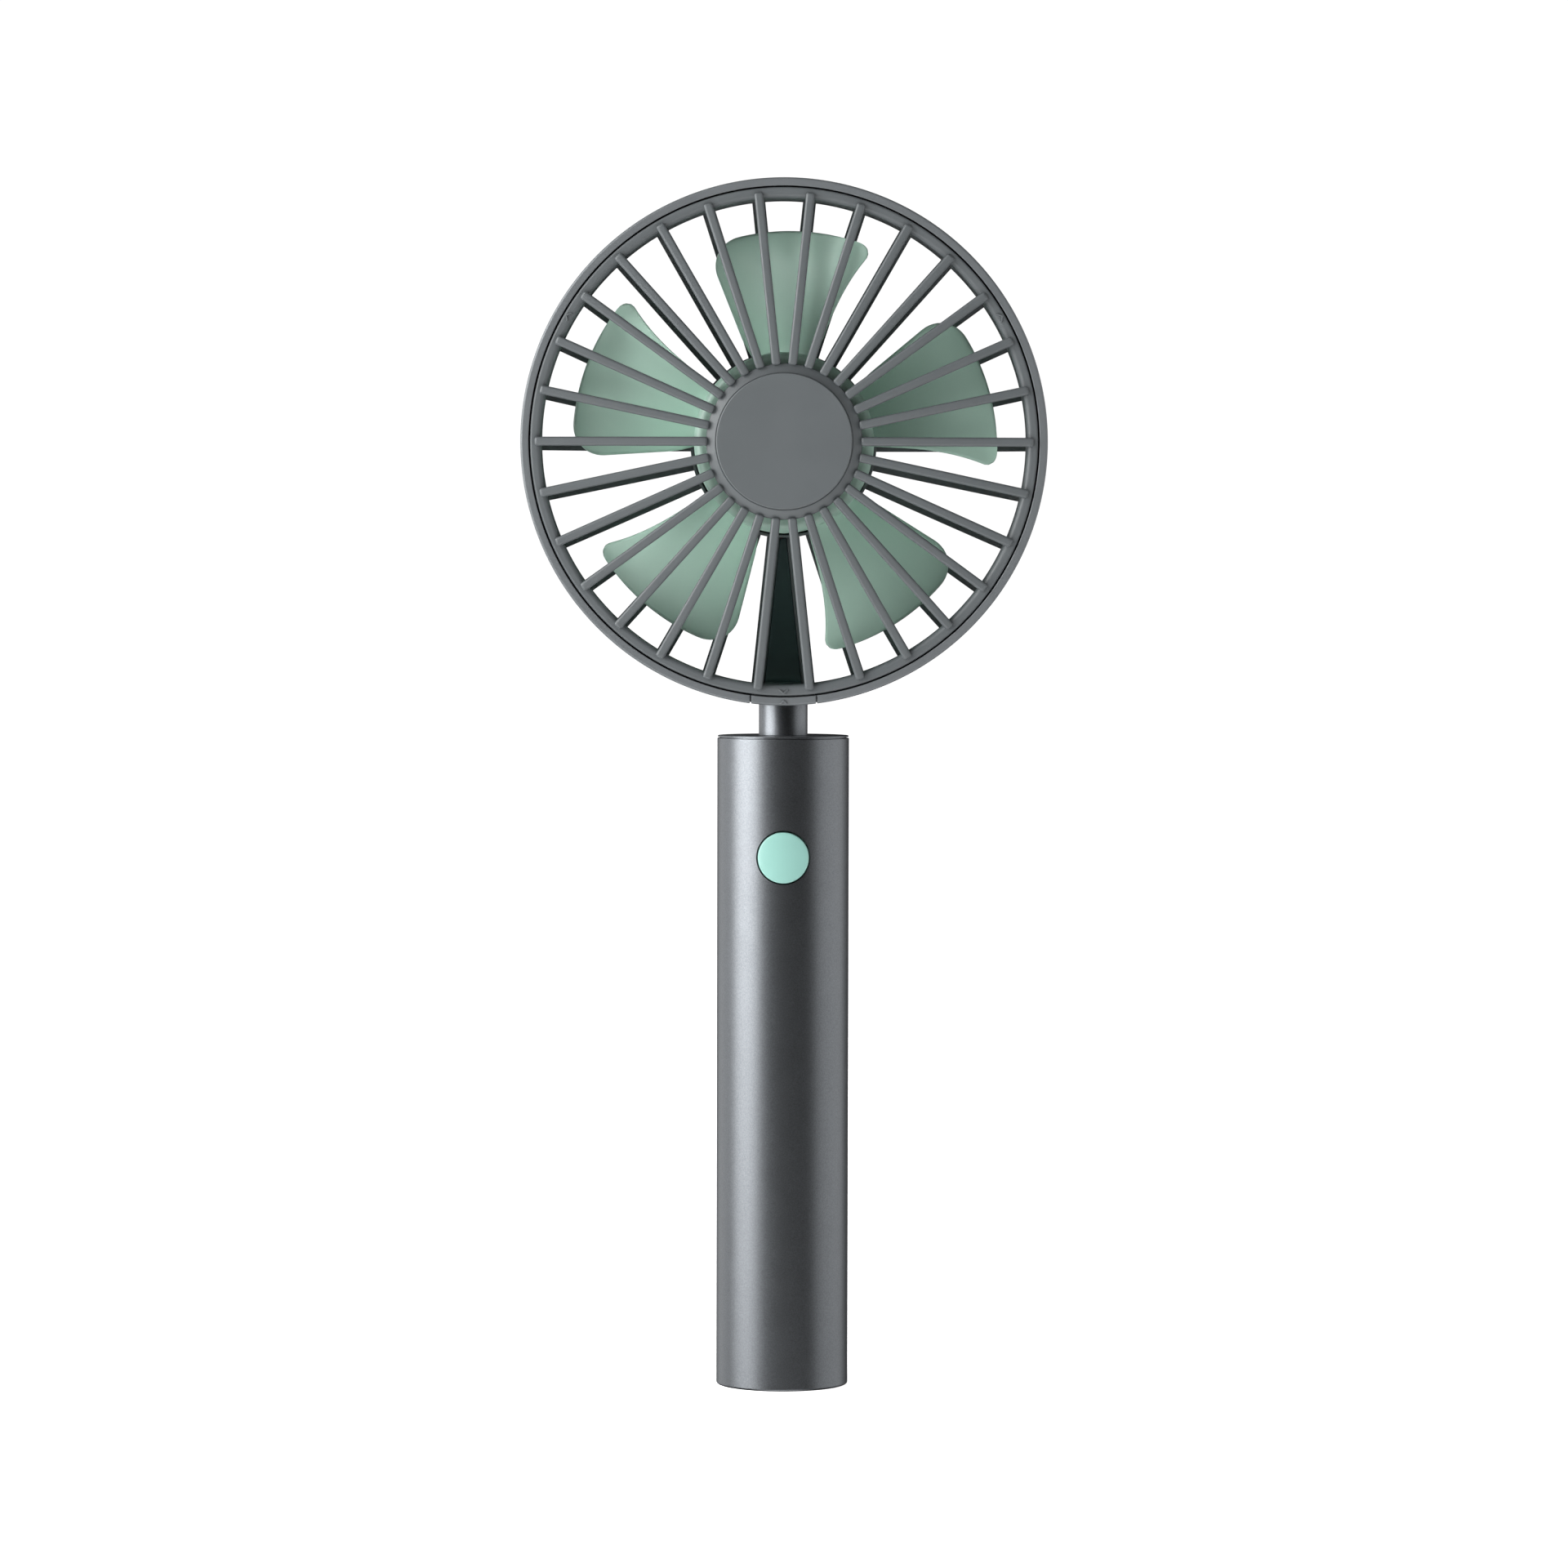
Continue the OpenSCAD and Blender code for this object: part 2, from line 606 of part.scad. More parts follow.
// Outline of a front bar from above, with a round end at each side
module bar_plan() polygon([
    for (e = [[bar_end_r, -90], [bar_hub_r, 90]], a = [0 : 30 : 180])
        [e[0], 0] + front_rib_w / 2 * [cos(a + e[1]), sin(a + e[1])]]);

module front_bar() {
    n = 6;
    hub_end = bar_hub_r - front_rib_w / 2;
    rim_end = bar_end_r + front_rib_w / 2;
    top = [for (i = [0 : n]) let (r = bar_hub_r + (bar_end_r - bar_hub_r) * i / n) [r, bar_top(r)]];
    outline = concat([[hub_end, top[0].y]], top, [[rim_end, top[n].y]]);
    web = [for (p = outline) if (p.x < rim_in) p];
    intersection() {
        linear_extrude(20) bar_plan();
        fin(concat(outline, reversed([for (p = outline) p - [0, 1.6]])), 3);
    }
    fin(concat([for (p = web) p - [0, 1]], [[rim_in + 0.3, 9.5], [rim_in + 0.3, 6.6]],
        reversed([for (p = web) p - [0, 4.3]])), 1.3);
}

module front_grille() color("#6e7377") at_head() {
    rotate_extrude() polygon([
        [rim_in, 2.5], [skirt_out, 2.5], [skirt_out, rim_top - rim_t], [rim_out, rim_top - rim_t],
        [rim_out, rim_top - 0.2], [rim_out - 0.2, rim_top], [rim_in + 0.9, rim_top],
        [rim_in + 0.25, rim_top - 0.3], [rim_in, rim_top - 0.95]]);
    for (a = lug_angles) intersection() {
        ring(skirt_out - 0.1, wall_in + 0.45, 3, 4.5);
        rotate(a) wedge(60, -lug_half, lug_half, 0, 10);
    }
    rotate_extrude() polygon([
        [0, 9.6], [hub_plate_r - 0.6, 9.6], [hub_plate_r, 10.4], [hub_plate_r, 11.4],
        [hub_plate_r - 0.4, 12], [12.85, 12.9], [12.85, 12.3], [0, 12.3]]);
    for (i = [0 : rib_count - 1]) rotate((i + 0.5) * rib_step + 90) front_bar();
    for (a = mark_angles) rotate(a - 90) translate([0, 47.1, rim_top]) mark(1);
}

module hub_cap() color("#6e7377") at_head() rotate_extrude() polygon([
    [0, 12.3], [12.8, 12.3], [12.8, 13.6], [12.5, 13.9], [0, 13.9]]);

handle_tube();
top_cap();
bottom_cap();
foot_pad();
cap_screw();
inner_carrier();
battery_cell();
cell_foam();
cell_tabs();
main_board();
board_parts();
board_screws();
tact_switch();
switch_plunger();
power_button();
button_guide();
charge_board();
usb_socket();
usb_tongue();
charge_led();
light_guide();
battery_lead_red();
battery_lead_black();
charge_lead_red();
charge_lead_black();
neck_tube();
neck_nut();
neck_block();
neck_screws();
head_ring();
rear_grille();
wire_cover();
rear_cap();
bearing_tube();
sleeve_bearing();
thrust_pad();
stator_core();
stator_insulators();
stator_coils();
motor_board();
motor_chips();
motor_lead_red();
motor_lead_black();
impeller();
rotor_cup();
magnet_ring();
motor_shaft();
shaft_clip();
front_grille();
hub_cap();
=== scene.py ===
import json
import math
import bmesh
import bpy
from mathutils import Matrix, Vector

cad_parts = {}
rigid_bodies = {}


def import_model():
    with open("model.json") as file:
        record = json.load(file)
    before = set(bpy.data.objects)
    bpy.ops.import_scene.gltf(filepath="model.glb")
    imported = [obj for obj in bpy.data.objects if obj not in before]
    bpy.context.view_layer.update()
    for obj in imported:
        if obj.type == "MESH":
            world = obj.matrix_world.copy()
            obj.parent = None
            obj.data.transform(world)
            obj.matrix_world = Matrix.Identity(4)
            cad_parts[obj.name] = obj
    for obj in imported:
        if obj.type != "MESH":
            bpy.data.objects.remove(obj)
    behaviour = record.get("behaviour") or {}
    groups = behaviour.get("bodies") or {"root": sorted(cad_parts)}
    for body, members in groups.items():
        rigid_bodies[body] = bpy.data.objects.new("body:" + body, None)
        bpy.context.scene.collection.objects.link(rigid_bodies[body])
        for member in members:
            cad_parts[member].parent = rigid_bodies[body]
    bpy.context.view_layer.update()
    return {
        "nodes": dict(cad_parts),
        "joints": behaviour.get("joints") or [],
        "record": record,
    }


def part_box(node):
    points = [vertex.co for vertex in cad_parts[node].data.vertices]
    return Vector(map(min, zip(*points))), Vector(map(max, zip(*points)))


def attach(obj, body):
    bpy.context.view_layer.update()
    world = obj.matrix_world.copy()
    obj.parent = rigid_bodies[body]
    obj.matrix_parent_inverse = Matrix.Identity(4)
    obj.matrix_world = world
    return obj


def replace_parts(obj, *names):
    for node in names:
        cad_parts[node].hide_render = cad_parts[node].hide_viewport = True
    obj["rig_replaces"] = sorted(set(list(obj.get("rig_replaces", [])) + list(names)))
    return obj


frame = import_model()
scene = bpy.context.scene
mm = 0.001

# Shared sizes, in mm. Head places are (across, up, forward) from the middle of the hoop.
headZ = frame["joints"][0]["pos_m"][2] / mm
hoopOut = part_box("head_ring")[1].x / mm
hoopThick = 1.55
hoopIn = hoopOut - hoopThick
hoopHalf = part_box("head_ring")[1].y / mm
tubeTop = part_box("handle_tube")[1].z / mm
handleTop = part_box("top_cap")[1].z / mm
ribStep = 12
print("frame loaded, head at", round(headZ, 2), "mm")


def atHead(p):
    return (p[0], -p[2], headZ + p[1])


def addPiece(name, points, faces, place=None):
    mesh = bpy.data.meshes.new(name)
    mesh.from_pydata([[c * mm for c in (place(p) if place else p)] for p in points], [], faces)
    piece = bpy.data.objects.new(name, mesh)
    scene.collection.objects.link(piece)
    return piece


def closeUp(piece):  # merges doubles and turns every face outwards
    work = bmesh.new()
    work.from_mesh(piece.data)
    bmesh.ops.remove_doubles(work, verts=work.verts, dist=0.002 * mm)
    bmesh.ops.dissolve_degenerate(work, edges=work.edges, dist=0.001 * mm)
    bmesh.ops.delete(work, geom=[e for e in work.edges if not e.link_faces], context="EDGES")
    bmesh.ops.recalc_face_normals(work, faces=work.faces)
    work.to_mesh(piece.data)
    work.free()
    return piece


def settle(piece):  # leaves the result of the modifiers as a plain mesh
    bpy.context.view_layer.update()
    graph = bpy.context.evaluated_depsgraph_get()
    made = bpy.data.meshes.new_from_object(piece.evaluated_get(graph), depsgraph=graph)
    piece.modifiers.clear()
    piece.data = made
    return piece


def soften(piece, width=0, steps=3, angle=35):  # rounds sharp edges, then shades smooth
    piece.data.shade_smooth()
    if width:
        bevel = piece.modifiers.new("bevel", "BEVEL")
        bevel.width, bevel.segments = width * mm, steps
        bevel.limit_method, bevel.angle_limit = "ANGLE", math.radians(angle)
        settle(piece)
    piece.data.shade_smooth()
    piece.data.set_sharp_from_angle(angle=math.radians(angle))
    weighted = piece.modifiers.new("weighted", "WEIGHTED_NORMAL")
    weighted.keep_sharp = True
    return settle(piece)


def fillet(corners, steps=4):  # corners are (a, b, radius), in order round an outline
    line = []
    for i, (a, b, radius) in enumerate(corners):
        here = Vector((a, b))
        if not radius:
            line.append(tuple(here))
            continue
        toLast = Vector(corners[i - 1][:2]) - here
        toNext = Vector(corners[(i + 1) % len(corners)][:2]) - here
        half = toLast.angle(toNext) / 2
        reach = radius / math.tan(half)
        start, end = here + toLast.normalized() * reach, here + toNext.normalized() * reach
        middle = here + (toLast.normalized() + toNext.normalized()).normalized() * radius / math.sin(half)
        turn = (start - middle).angle_signed(end - middle)
        for k in range(steps + 1):
            c, s = math.cos(-turn * k / steps), math.sin(-turn * k / steps)
            arm = start - middle
            line.append((middle.x + arm.x * c - arm.y * s, middle.y + arm.x * s + arm.y * c))
    return line


def revolve(name, profile, place=None, steps=180, ends=None):
    # profile is (radius, height); ends gives the first and last angle for a radius
    count = steps + 1 if ends else steps
    points, faces, n = [], [], len(profile)
    for r, h in profile:
        first, last = ends(r) if ends else (0, 2 * math.pi)
        for k in range(count):
            a = first + (last - first) * k / steps
            points.append((r * math.cos(a), r * math.sin(a), h))
    for i in range(n):
        j = (i + 1) % n
        for k in range(steps):
            after = (k + 1) % count
            faces.append((i * count + k, i * count + after, j * count + after, j * count + k))
    if ends:
        faces.append([i * count for i in range(n)])
        faces.append([i * count + steps for i in range(n - 1, -1, -1)])
    return closeUp(addPiece(name, points, faces, place))


def stitch(count, n):  # faces between a count of rings, each of n points
    faces = []
    for i in range(count - 1):
        for k in range(n):
            after = (k + 1) % n
            faces.append((i * n + k, i * n + after, (i + 1) * n + after, (i + 1) * n + k))
    return faces


def loft(name, rings, place=None):  # joins rings of points one after another, and closes both ends
    n = len(rings[0])
    points = [p for ring in rings for p in ring]
    faces = stitch(len(rings), n)
    faces.append(list(range(n - 1, -1, -1)))
    faces.append([(len(rings) - 1) * n + k for k in range(n)])
    return closeUp(addPiece(name, points, faces, place))


def between(first, last, count):  # even steps from first to last
    return [first + (last - first) * i / count for i in range(count + 1)]


def heading(line, i):  # which way a line runs at its point i
    a, b = line[max(i - 1, 0)], line[min(i + 1, len(line) - 1)]
    return Vector((b[0] - a[0], b[1] - a[1])).normalized()


def cutWith(piece, *cutters):
    for cutter in cutters:
        cut = piece.modifiers.new("cut", "BOOLEAN")
        cut.operation, cut.object, cut.solver = "DIFFERENCE", cutter, "EXACT"
        settle(piece)
        bpy.data.objects.remove(cutter)
    return piece


def joinPieces(name, pieces):
    with bpy.context.temp_override(active_object=pieces[0], selected_editable_objects=pieces):
        bpy.ops.object.join()
    pieces[0].name = pieces[0].data.name = name
    return pieces[0]


def stadium(length, high, steps=14):  # outline of a flat bar with round ends
    line = []
    for side in (1, -1):
        for k in range(steps + 1):
            a = -math.pi / 2 + math.pi * k / steps
            line.append((side * ((length - high) / 2 + high / 2 * math.cos(a)),
                         side * high / 2 * math.sin(a)))
    return line


# Geometry Nodes: one tree repeats a shape round an axis, the other along a line
class Steps:
    def __init__(self, name, inputs):
        self.tree = bpy.data.node_groups.new(name, "GeometryNodeTree")
        face = self.tree.interface
        face.new_socket("Geometry", in_out="INPUT", socket_type="NodeSocketGeometry")
        for label, kind in inputs:
            face.new_socket(label, in_out="INPUT", socket_type="NodeSocket" + kind)
        face.new_socket("Geometry", in_out="OUTPUT", socket_type="NodeSocketGeometry")
        self.given = self.tree.nodes.new("NodeGroupInput").outputs

    def add(self, kind, settings=None, **links):  # i0, i1 and so on name a socket by its number
        node = self.tree.nodes.new(kind)
        for key, value in (settings or {}).items():
            setattr(node, key, value)
        for key, value in links.items():
            numbered = key[0] == "i" and key[1:].isdigit()
            socket = node.inputs[int(key[1:]) if numbered else key]
            if isinstance(value, bpy.types.NodeSocket):
                self.tree.links.new(value, socket)
            else:
                socket.default_value = value
        return node.outputs[0]

    def end(self, geometry):
        real = self.add("GeometryNodeRealizeInstances", Geometry=geometry)
        painted = self.add("GeometryNodeSetMaterial", Geometry=real, Material=self.given["Finish"])
        self.tree.links.new(painted, self.tree.nodes.new("NodeGroupOutput").inputs[0])
        return self.tree


def buildRingTree():  # copies turned about an axis along Y that passes through Centre
    t = Steps("ringOfCopies", [("Count", "Int"), ("Step", "Float"), ("First", "Float"),
                               ("Centre", "Vector"), ("Finish", "Material")])
    index = t.add("GeometryNodeInputIndex")
    turned = t.add("ShaderNodeMath", {"operation": "MULTIPLY_ADD"},
                   i0=index, i1=t.given["Step"], i2=t.given["First"])
    flipped = t.add("ShaderNodeMath", {"operation": "MULTIPLY"}, i0=turned, i1=-1.0)
    angles = t.add("ShaderNodeCombineXYZ", Y=flipped)
    rotation = t.add("FunctionNodeEulerToRotation", i0=angles)
    dots = t.add("GeometryNodePoints", Count=t.given["Count"], Position=t.given["Centre"])
    return t.end(t.add("GeometryNodeInstanceOnPoints", Points=dots, Instance=t.given["Geometry"],
                       Rotation=rotation))


def buildRowTree():  # copies set along a line, from Start
    t = Steps("rowOfCopies", [("Count", "Int"), ("Start", "Vector"), ("Spacing", "Vector"),
                              ("Finish", "Material")])
    line = t.add("GeometryNodeMeshLine", {"mode": "OFFSET", "count_mode": "TOTAL"}, Count=t.given["Count"],
                 Offset=t.given["Spacing"], **{"Start Location": t.given["Start"]})
    return t.end(t.add("GeometryNodeInstanceOnPoints", Points=line, Instance=t.given["Geometry"]))


ringTree, rowTree = buildRingTree(), buildRowTree()


def repeat(piece, tree, values):
    copies = piece.modifiers.new("copies", "NODES")
    copies.node_group = tree
    sockets = {s.name: s.identifier for s in tree.interface.items_tree if s.in_out == "INPUT"}
    for label, value in values.items():
        copies[sockets[label]] = value
    return settle(piece)


# Finishes. Patterns read Object coordinates, turned into millimetres.
class Flow:
    def __init__(self, tree, socket=None):
        self.tree, self.socket = tree, socket

    def add(self, kind, settings=None, inputs=None, out=0):
        node = self.tree.nodes.new(kind)
        for key, value in (settings or {}).items():
            setattr(node, key, value)
        for key, value in (inputs or {}).items():
            if isinstance(value, Flow):
                self.tree.links.new(value.socket, node.inputs[key])
            else:
                node.inputs[key].default_value = value
        return Flow(self.tree, node.outputs[out])

    def sum(self, operation, *values):
        return self.add("ShaderNodeMath", {"operation": operation}, dict(enumerate(values)))

    def __add__(self, other): return self.sum("ADD", self, other)
    def __sub__(self, other): return self.sum("SUBTRACT", self, other)
    def __rsub__(self, other): return self.sum("SUBTRACT", other, self)
    def __mul__(self, other): return self.sum("MULTIPLY", self, other)
    __radd__, __rmul__ = __add__, __mul__


def blendColour(mask, first, second):
    return mask.add("ShaderNodeMix", {"data_type": "RGBA"}, {0: mask, 6: first, 7: second}, out=2)


def shade(colour, amount):
    return tuple(min(1, c * amount) for c in colour) + (1,)


def noise(place, size, detail=2, rough=0.5):  # size is in mm
    return place.add("ShaderNodeTexNoise", {"noise_dimensions": "3D"},
                     {"Vector": place, "Scale": 1 / size, "Detail": detail, "Roughness": rough})


def placeInMm(root, stretch=(1, 1, 1)):
    own = root.add("ShaderNodeTexCoord", out=3)
    return root.add("ShaderNodeVectorMath", {"operation": "MULTIPLY"}, {0: own, 1: [k / mm for k in stretch]})


def spread(value, low, high):  # brings the middle of a noise out to 0 and 1
    return value.add("ShaderNodeMapRange", {"clamp": True}, {"Value": value, 1: low, 2: high, 3: 0.0, 4: 1.0})


def newFinish(name, colour, rough, metal=0.0, coat=0.0, bump=None, depth=0.0, **fixed):
    material = bpy.data.materials.new(name)
    material.use_nodes = True
    shader = material.node_tree.nodes["Principled BSDF"]
    root = Flow(material.node_tree)
    made = {"Base Color": colour(root), "Roughness": rough(root), "Metallic": metal, "Coat Weight": coat}
    if bump:
        made["Normal"] = root.add("ShaderNodeBump", {}, {
            "Strength": 1.0, "Distance": depth * mm, "Height": bump(root)})
    made.update({label.replace("_", " "): value for label, value in fixed.items()})
    for label, value in made.items():
        if isinstance(value, Flow):
            material.node_tree.links.new(value.socket, shader.inputs[label])
        else:
            shader.inputs[label].default_value = value
    return material


def moulded(name, plain):  # plain parts: faint patches, fine grain, small changes of gloss
    def colour(root):
        patches = spread(noise(placeInMm(root), plain["patchSize"], 3), 0.3, 0.7)
        return blendColour(patches, shade(plain["colour"], 1 - plain["patch"]),
                           shade(plain["colour"], 1 + plain["patch"]))

    def rough(root):
        clouds = spread(noise(placeInMm(root), plain["patchSize"] * 0.6, 2), 0.3, 0.7)
        return clouds * (2 * plain["glossShift"]) + (plain["rough"] - plain["glossShift"])

    def bump(root):
        stretched = placeInMm(root, plain.get("stretch", (1, 1, 1)))
        return noise(stretched, plain["grain"], 3) + noise(stretched, plain["grain"] * 3.7, 2) * 0.4

    return newFinish(name, colour, rough, plain["metal"], plain.get("coat", 0.0), bump, plain["depth"],
                     **plain.get("fixed", {}))


def look(colour, rough, grain=0.3, depth=0.01, metal=0.0, patch=0.06, patchSize=4.0, glossShift=0.04, **more):
    return dict(colour=colour, rough=rough, grain=grain, depth=depth, metal=metal, patch=patch,
                patchSize=patchSize, glossShift=glossShift, **more)


plainLooks = {
    "grey_plastic": look((0.066, 0.074, 0.078), 0.5, 0.3, 0.001, patch=0.03, patchSize=9),
    "hoop_grey": look((0.105, 0.114, 0.12), 0.46, 0.3, 0.001, metal=0.25, patch=0.025, patchSize=11),
    # near-black teal here is painted shade, with a painted green cast of light thrown from the blades
    "dark_plastic": look((0.012, 0.028, 0.03), 0.52, 0.2, 0.015, patch=0.08, patchSize=6),
    "carrier_plastic": look((0.68, 0.67, 0.62), 0.5, 0.5, 0.01, patchSize=7),
    "foot_rubber": look((0.022, 0.022, 0.024), 0.72, 0.35, 0.03, patch=0.12),
    "foam": look((0.05, 0.05, 0.055), 0.92, 0.4, 0.12, patch=0.25, patchSize=1.2),
    "screw_steel": look((0.5, 0.51, 0.52), 0.28, 0.12, 0.005, metal=1.0, stretch=(1, 0.2, 1)),
    "shaft_steel": look((0.6, 0.61, 0.62), 0.2, 0.08, 0.003, metal=1.0, stretch=(0.1, 1, 0.1)),
    "cell_wrap": look((0.05, 0.18, 0.3), 0.3, 1.5, 0.03, patch=0.05, patchSize=12, coat=0.4),
    "nickel": look((0.6, 0.57, 0.5), 0.25, 0.1, 0.006, metal=1.0, stretch=(1, 0.15, 1)),
    "chip_black": look((0.018, 0.018, 0.02), 0.6, 0.1, 0.008, patch=0.15, patchSize=1.5),
    "switch_black": look((0.022, 0.022, 0.025), 0.45, 0.2, 0.008, patch=0.1),
    "wire_red": look((0.42, 0.015, 0.01), 0.5, 0.4, 0.01, patch=0.08, patchSize=3),
    "wire_black": look((0.014, 0.014, 0.016), 0.5, 0.4, 0.01, patch=0.1, patchSize=3),
    "brass": look((0.6, 0.4, 0.12), 0.3, 0.15, 0.008, metal=1.0, stretch=(0.15, 1, 0.15)),
    "bronze": look((0.36, 0.18, 0.07), 0.5, 0.12, 0.03, metal=0.9, patch=0.15, patchSize=0.8),
    "insulator_green": look((0.03, 0.055, 0.042), 0.5, 0.25, 0.01, patch=0.1),
    "ferrite": look((0.03, 0.03, 0.033), 0.6, 0.2, 0.03, patch=0.2, patchSize=1),
    "rotor_steel": look((0.4, 0.41, 0.42), 0.32, 0.14, 0.006, metal=1.0, stretch=(0.15, 1, 0.15)),
    "light_clear": look((0.82, 0.88, 0.88), 0.3, 0.3, 0.01, patch=0.02,
                        fixed={"Transmission_Weight": 0.7, "IOR": 1.49}),
}
finishes = {name: moulded(name, values) for name, values in plainLooks.items()}


def anodisedTube():  # satin grey over a fine bead-blasted surface
    satin = {"colour": (0.165, 0.175, 0.186), "darkSpeck": 0.86, "lightSpeck": 1.12, "bead": 0.24,
             "beadDepth": 0.006, "rough": 0.41, "cloud": 6, "cloudShift": 0.05, "speckShift": 0.1}

    def colour(root):
        specks = spread(noise(placeInMm(root), satin["bead"], 2), 0.3, 0.7)
        return blendColour(specks, shade(satin["colour"], satin["darkSpeck"]),
                           shade(satin["colour"], satin["lightSpeck"]))

    def rough(root):
        cloud = noise(placeInMm(root), satin["cloud"], 3)
        specks = noise(placeInMm(root), satin["bead"] * 1.4, 1)
        return satin["rough"] + (cloud - 0.5) * satin["cloudShift"] + (specks - 0.5) * satin["speckShift"]

    def bump(root):
        place = placeInMm(root)
        return noise(place, satin["bead"], 2, 0.6) + noise(place, satin["bead"] * 2.6, 2) * 0.6

    return newFinish("anodised_tube", colour, rough, 1.0, 0.0, bump, satin["beadDepth"])


def mintPlastic(name, tint):  # smooth satin with a slight depth of colour
    mint = {"dark": 0.97, "light": 1.03, "flow": 14, "speck": 0.3, "rough": 0.36, "roughShift": 0.12,
            "grain": 0.25, "depth": 0.004}

    def colour(root):
        flow = spread(noise(placeInMm(root), mint["flow"], 2), 0.3, 0.7)
        specks = noise(placeInMm(root), mint["speck"], 2)
        return blendColour(flow * 0.8 + specks * 0.2, shade(tint, mint["dark"]), shade(tint, mint["light"]))

    def rough(root):
        return mint["rough"] + (noise(placeInMm(root), 3, 3) - 0.5) * mint["roughShift"]

    def bump(root):
        return noise(placeInMm(root), mint["grain"], 3)

    return newFinish(name, colour, rough, 0.0, 0.0, bump, mint["depth"])


def circuitGreen():  # solder mask over copper tracks
    board = {"mask": (0.012, 0.13, 0.055), "track": (0.03, 0.24, 0.1), "pitch": 1.6}

    def tracks(root):
        cells = root.add("ShaderNodeTexVoronoi", {"feature": "DISTANCE_TO_EDGE"},
                         {"Vector": placeInMm(root), "Scale": 1 / board["pitch"]})
        return spread(cells, 0.02, 0.06)

    def colour(root):
        return blendColour(tracks(root), shade(board["track"], 1), shade(board["mask"], 1))

    def rough(root):
        return noise(placeInMm(root), 1.5, 2) * 0.1 + 0.22

    return newFinish("circuit_green", colour, rough, 0.0, 0.3, tracks, -0.02)


def banded(name, colour, dark, pitch, direction, rough, metal, depth):  # laminations or turns of wire
    waveScale = 0.314159 / pitch  # a wave of scale 1 repeats every 0.314159

    def bands(root):
        return root.add("ShaderNodeTexWave",
                        {"wave_type": "BANDS", "bands_direction": direction, "wave_profile": "SIN"},
                        {"Vector": placeInMm(root), "Scale": waveScale, "Distortion": 0.15, "Detail": 1.0},
                        out=1)

    def tint(root):
        return blendColour(bands(root), shade(dark, 1), shade(colour, 1))

    def gloss(root):
        return noise(placeInMm(root), 1.2, 2) * 0.12 + rough

    return newFinish(name, tint, gloss, metal, 0.0, bands, depth)


finishes["anodised_tube"] = anodisedTube()
finishes["mint_plastic"] = mintPlastic("mint_plastic", (0.47, 0.69, 0.575))
finishes["mint_button"] = mintPlastic("mint_button", (0.178, 0.343, 0.305))
finishes["circuit_green"] = circuitGreen()
finishes["stator_steel"] = banded("stator_steel", (0.32, 0.33, 0.34), (0.1, 0.1, 0.11), pitch=0.5,
                                  direction="Y", rough=0.35, metal=0.9, depth=0.04)
finishes["copper"] = banded("copper", (0.62, 0.2, 0.07), (0.2, 0.05, 0.02), pitch=0.24,
                            direction="DIAGONAL", rough=0.28, metal=0.9, depth=0.08)
print("finishes made:", len(finishes))


def dress(piece, body, slot, *nodes, finish=None):
    piece.data.materials.clear()
    piece.data.materials.append(finishes[finish or slot])
    piece.data.polygons.foreach_set("material_index", [0] * len(piece.data.polygons))
    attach(piece, body)
    if nodes:
        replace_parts(piece, *nodes)
    return piece


# Handle: an extruded tube with its cap, button, socket and foot
tube = {"out": 12.5, "bore": 11.3, "footRound": 0.4, "topRound": 0.15, "buttonHole": 5.1, "buttonZ": 100.8,
        "portZ": 9.43, "portLength": 9.5, "portHigh": 3.8, "lightHole": 0.75, "lightAngle": 52,
        "cut": (6, 14)}


def atLight(p):  # (sideways, up, outwards) along the charging light's own direction
    a = math.radians(tube["lightAngle"])
    return (math.sin(a) * p[2] + math.cos(a) * p[0], math.cos(a) * p[2] - math.sin(a) * p[0],
            tube["portZ"] + p[1])


def roundNormals(mesh, radius):  # keeps the shading of the tube true round the holes cut in it
    mesh.update()
    normals = [None] * len(mesh.loops)
    made = mesh.corner_normals
    near = 0.004 * mm
    for face in mesh.polygons:
        onTube = all(abs(math.hypot(*mesh.vertices[v].co[:2]) - radius * mm) < near for v in face.vertices)
        for i in face.loop_indices:
            co = mesh.vertices[mesh.loops[i].vertex_index].co
            normals[i] = Vector((co.x, co.y, 0)).normalized() if onTube else made[i].vector.copy()
    mesh.normals_split_custom_set(normals)


def buildTube():
    shell = revolve("handleTube", fillet([
        (tube["bore"], 0, 0), (tube["out"], 0, tube["footRound"]), (tube["out"], tubeTop, tube["topRound"]),
        (tube["bore"], tubeTop, 0.05)], 6), steps=288)
    near, far = tube["cut"]

    def drill(name, radius, place, steps):
        return revolve(name, [(0, near), (radius, near), (radius, far), (0, far)], place, steps)

    button = drill("buttonCut", tube["buttonHole"], lambda p: (p[0], -p[2], tube["buttonZ"] + p[1]), 96)
    mouth = stadium(tube["portLength"], tube["portHigh"])
    port = loft("portCut", [[(x, y, tube["portZ"] + z) for x, z in mouth] for y in (near, far)])
    light = drill("lightCut", tube["lightHole"], atLight, 32)
    cutWith(shell, button, port, light)
    soften(shell)
    roundNormals(shell.data, tube["out"])
    return shell


dress(buildTube(), "fan_body", "anodised_tube", "handle_tube")

cap = {"edge": 12.4, "edgeRound": 0.12, "plate": 0.3, "spigotDown": 2.25, "spigot": 11.25, "step": 12.0,
       "hole": 4.0}
capUnder = handleTop - cap["plate"]
dress(soften(revolve("topCap", fillet([
    (cap["hole"], tubeTop - cap["spigotDown"], 0), (cap["spigot"], tubeTop - cap["spigotDown"], 0.2),
    (cap["spigot"], tubeTop, 0), (cap["step"], tubeTop, 0), (cap["step"], capUnder, 0),
    (cap["edge"], capUnder, 0.05), (cap["edge"], handleTop, cap["edgeRound"]), (cap["hole"], handleTop, 0)]),
    steps=240)), "fan_body", "anodised_tube", "top_cap")

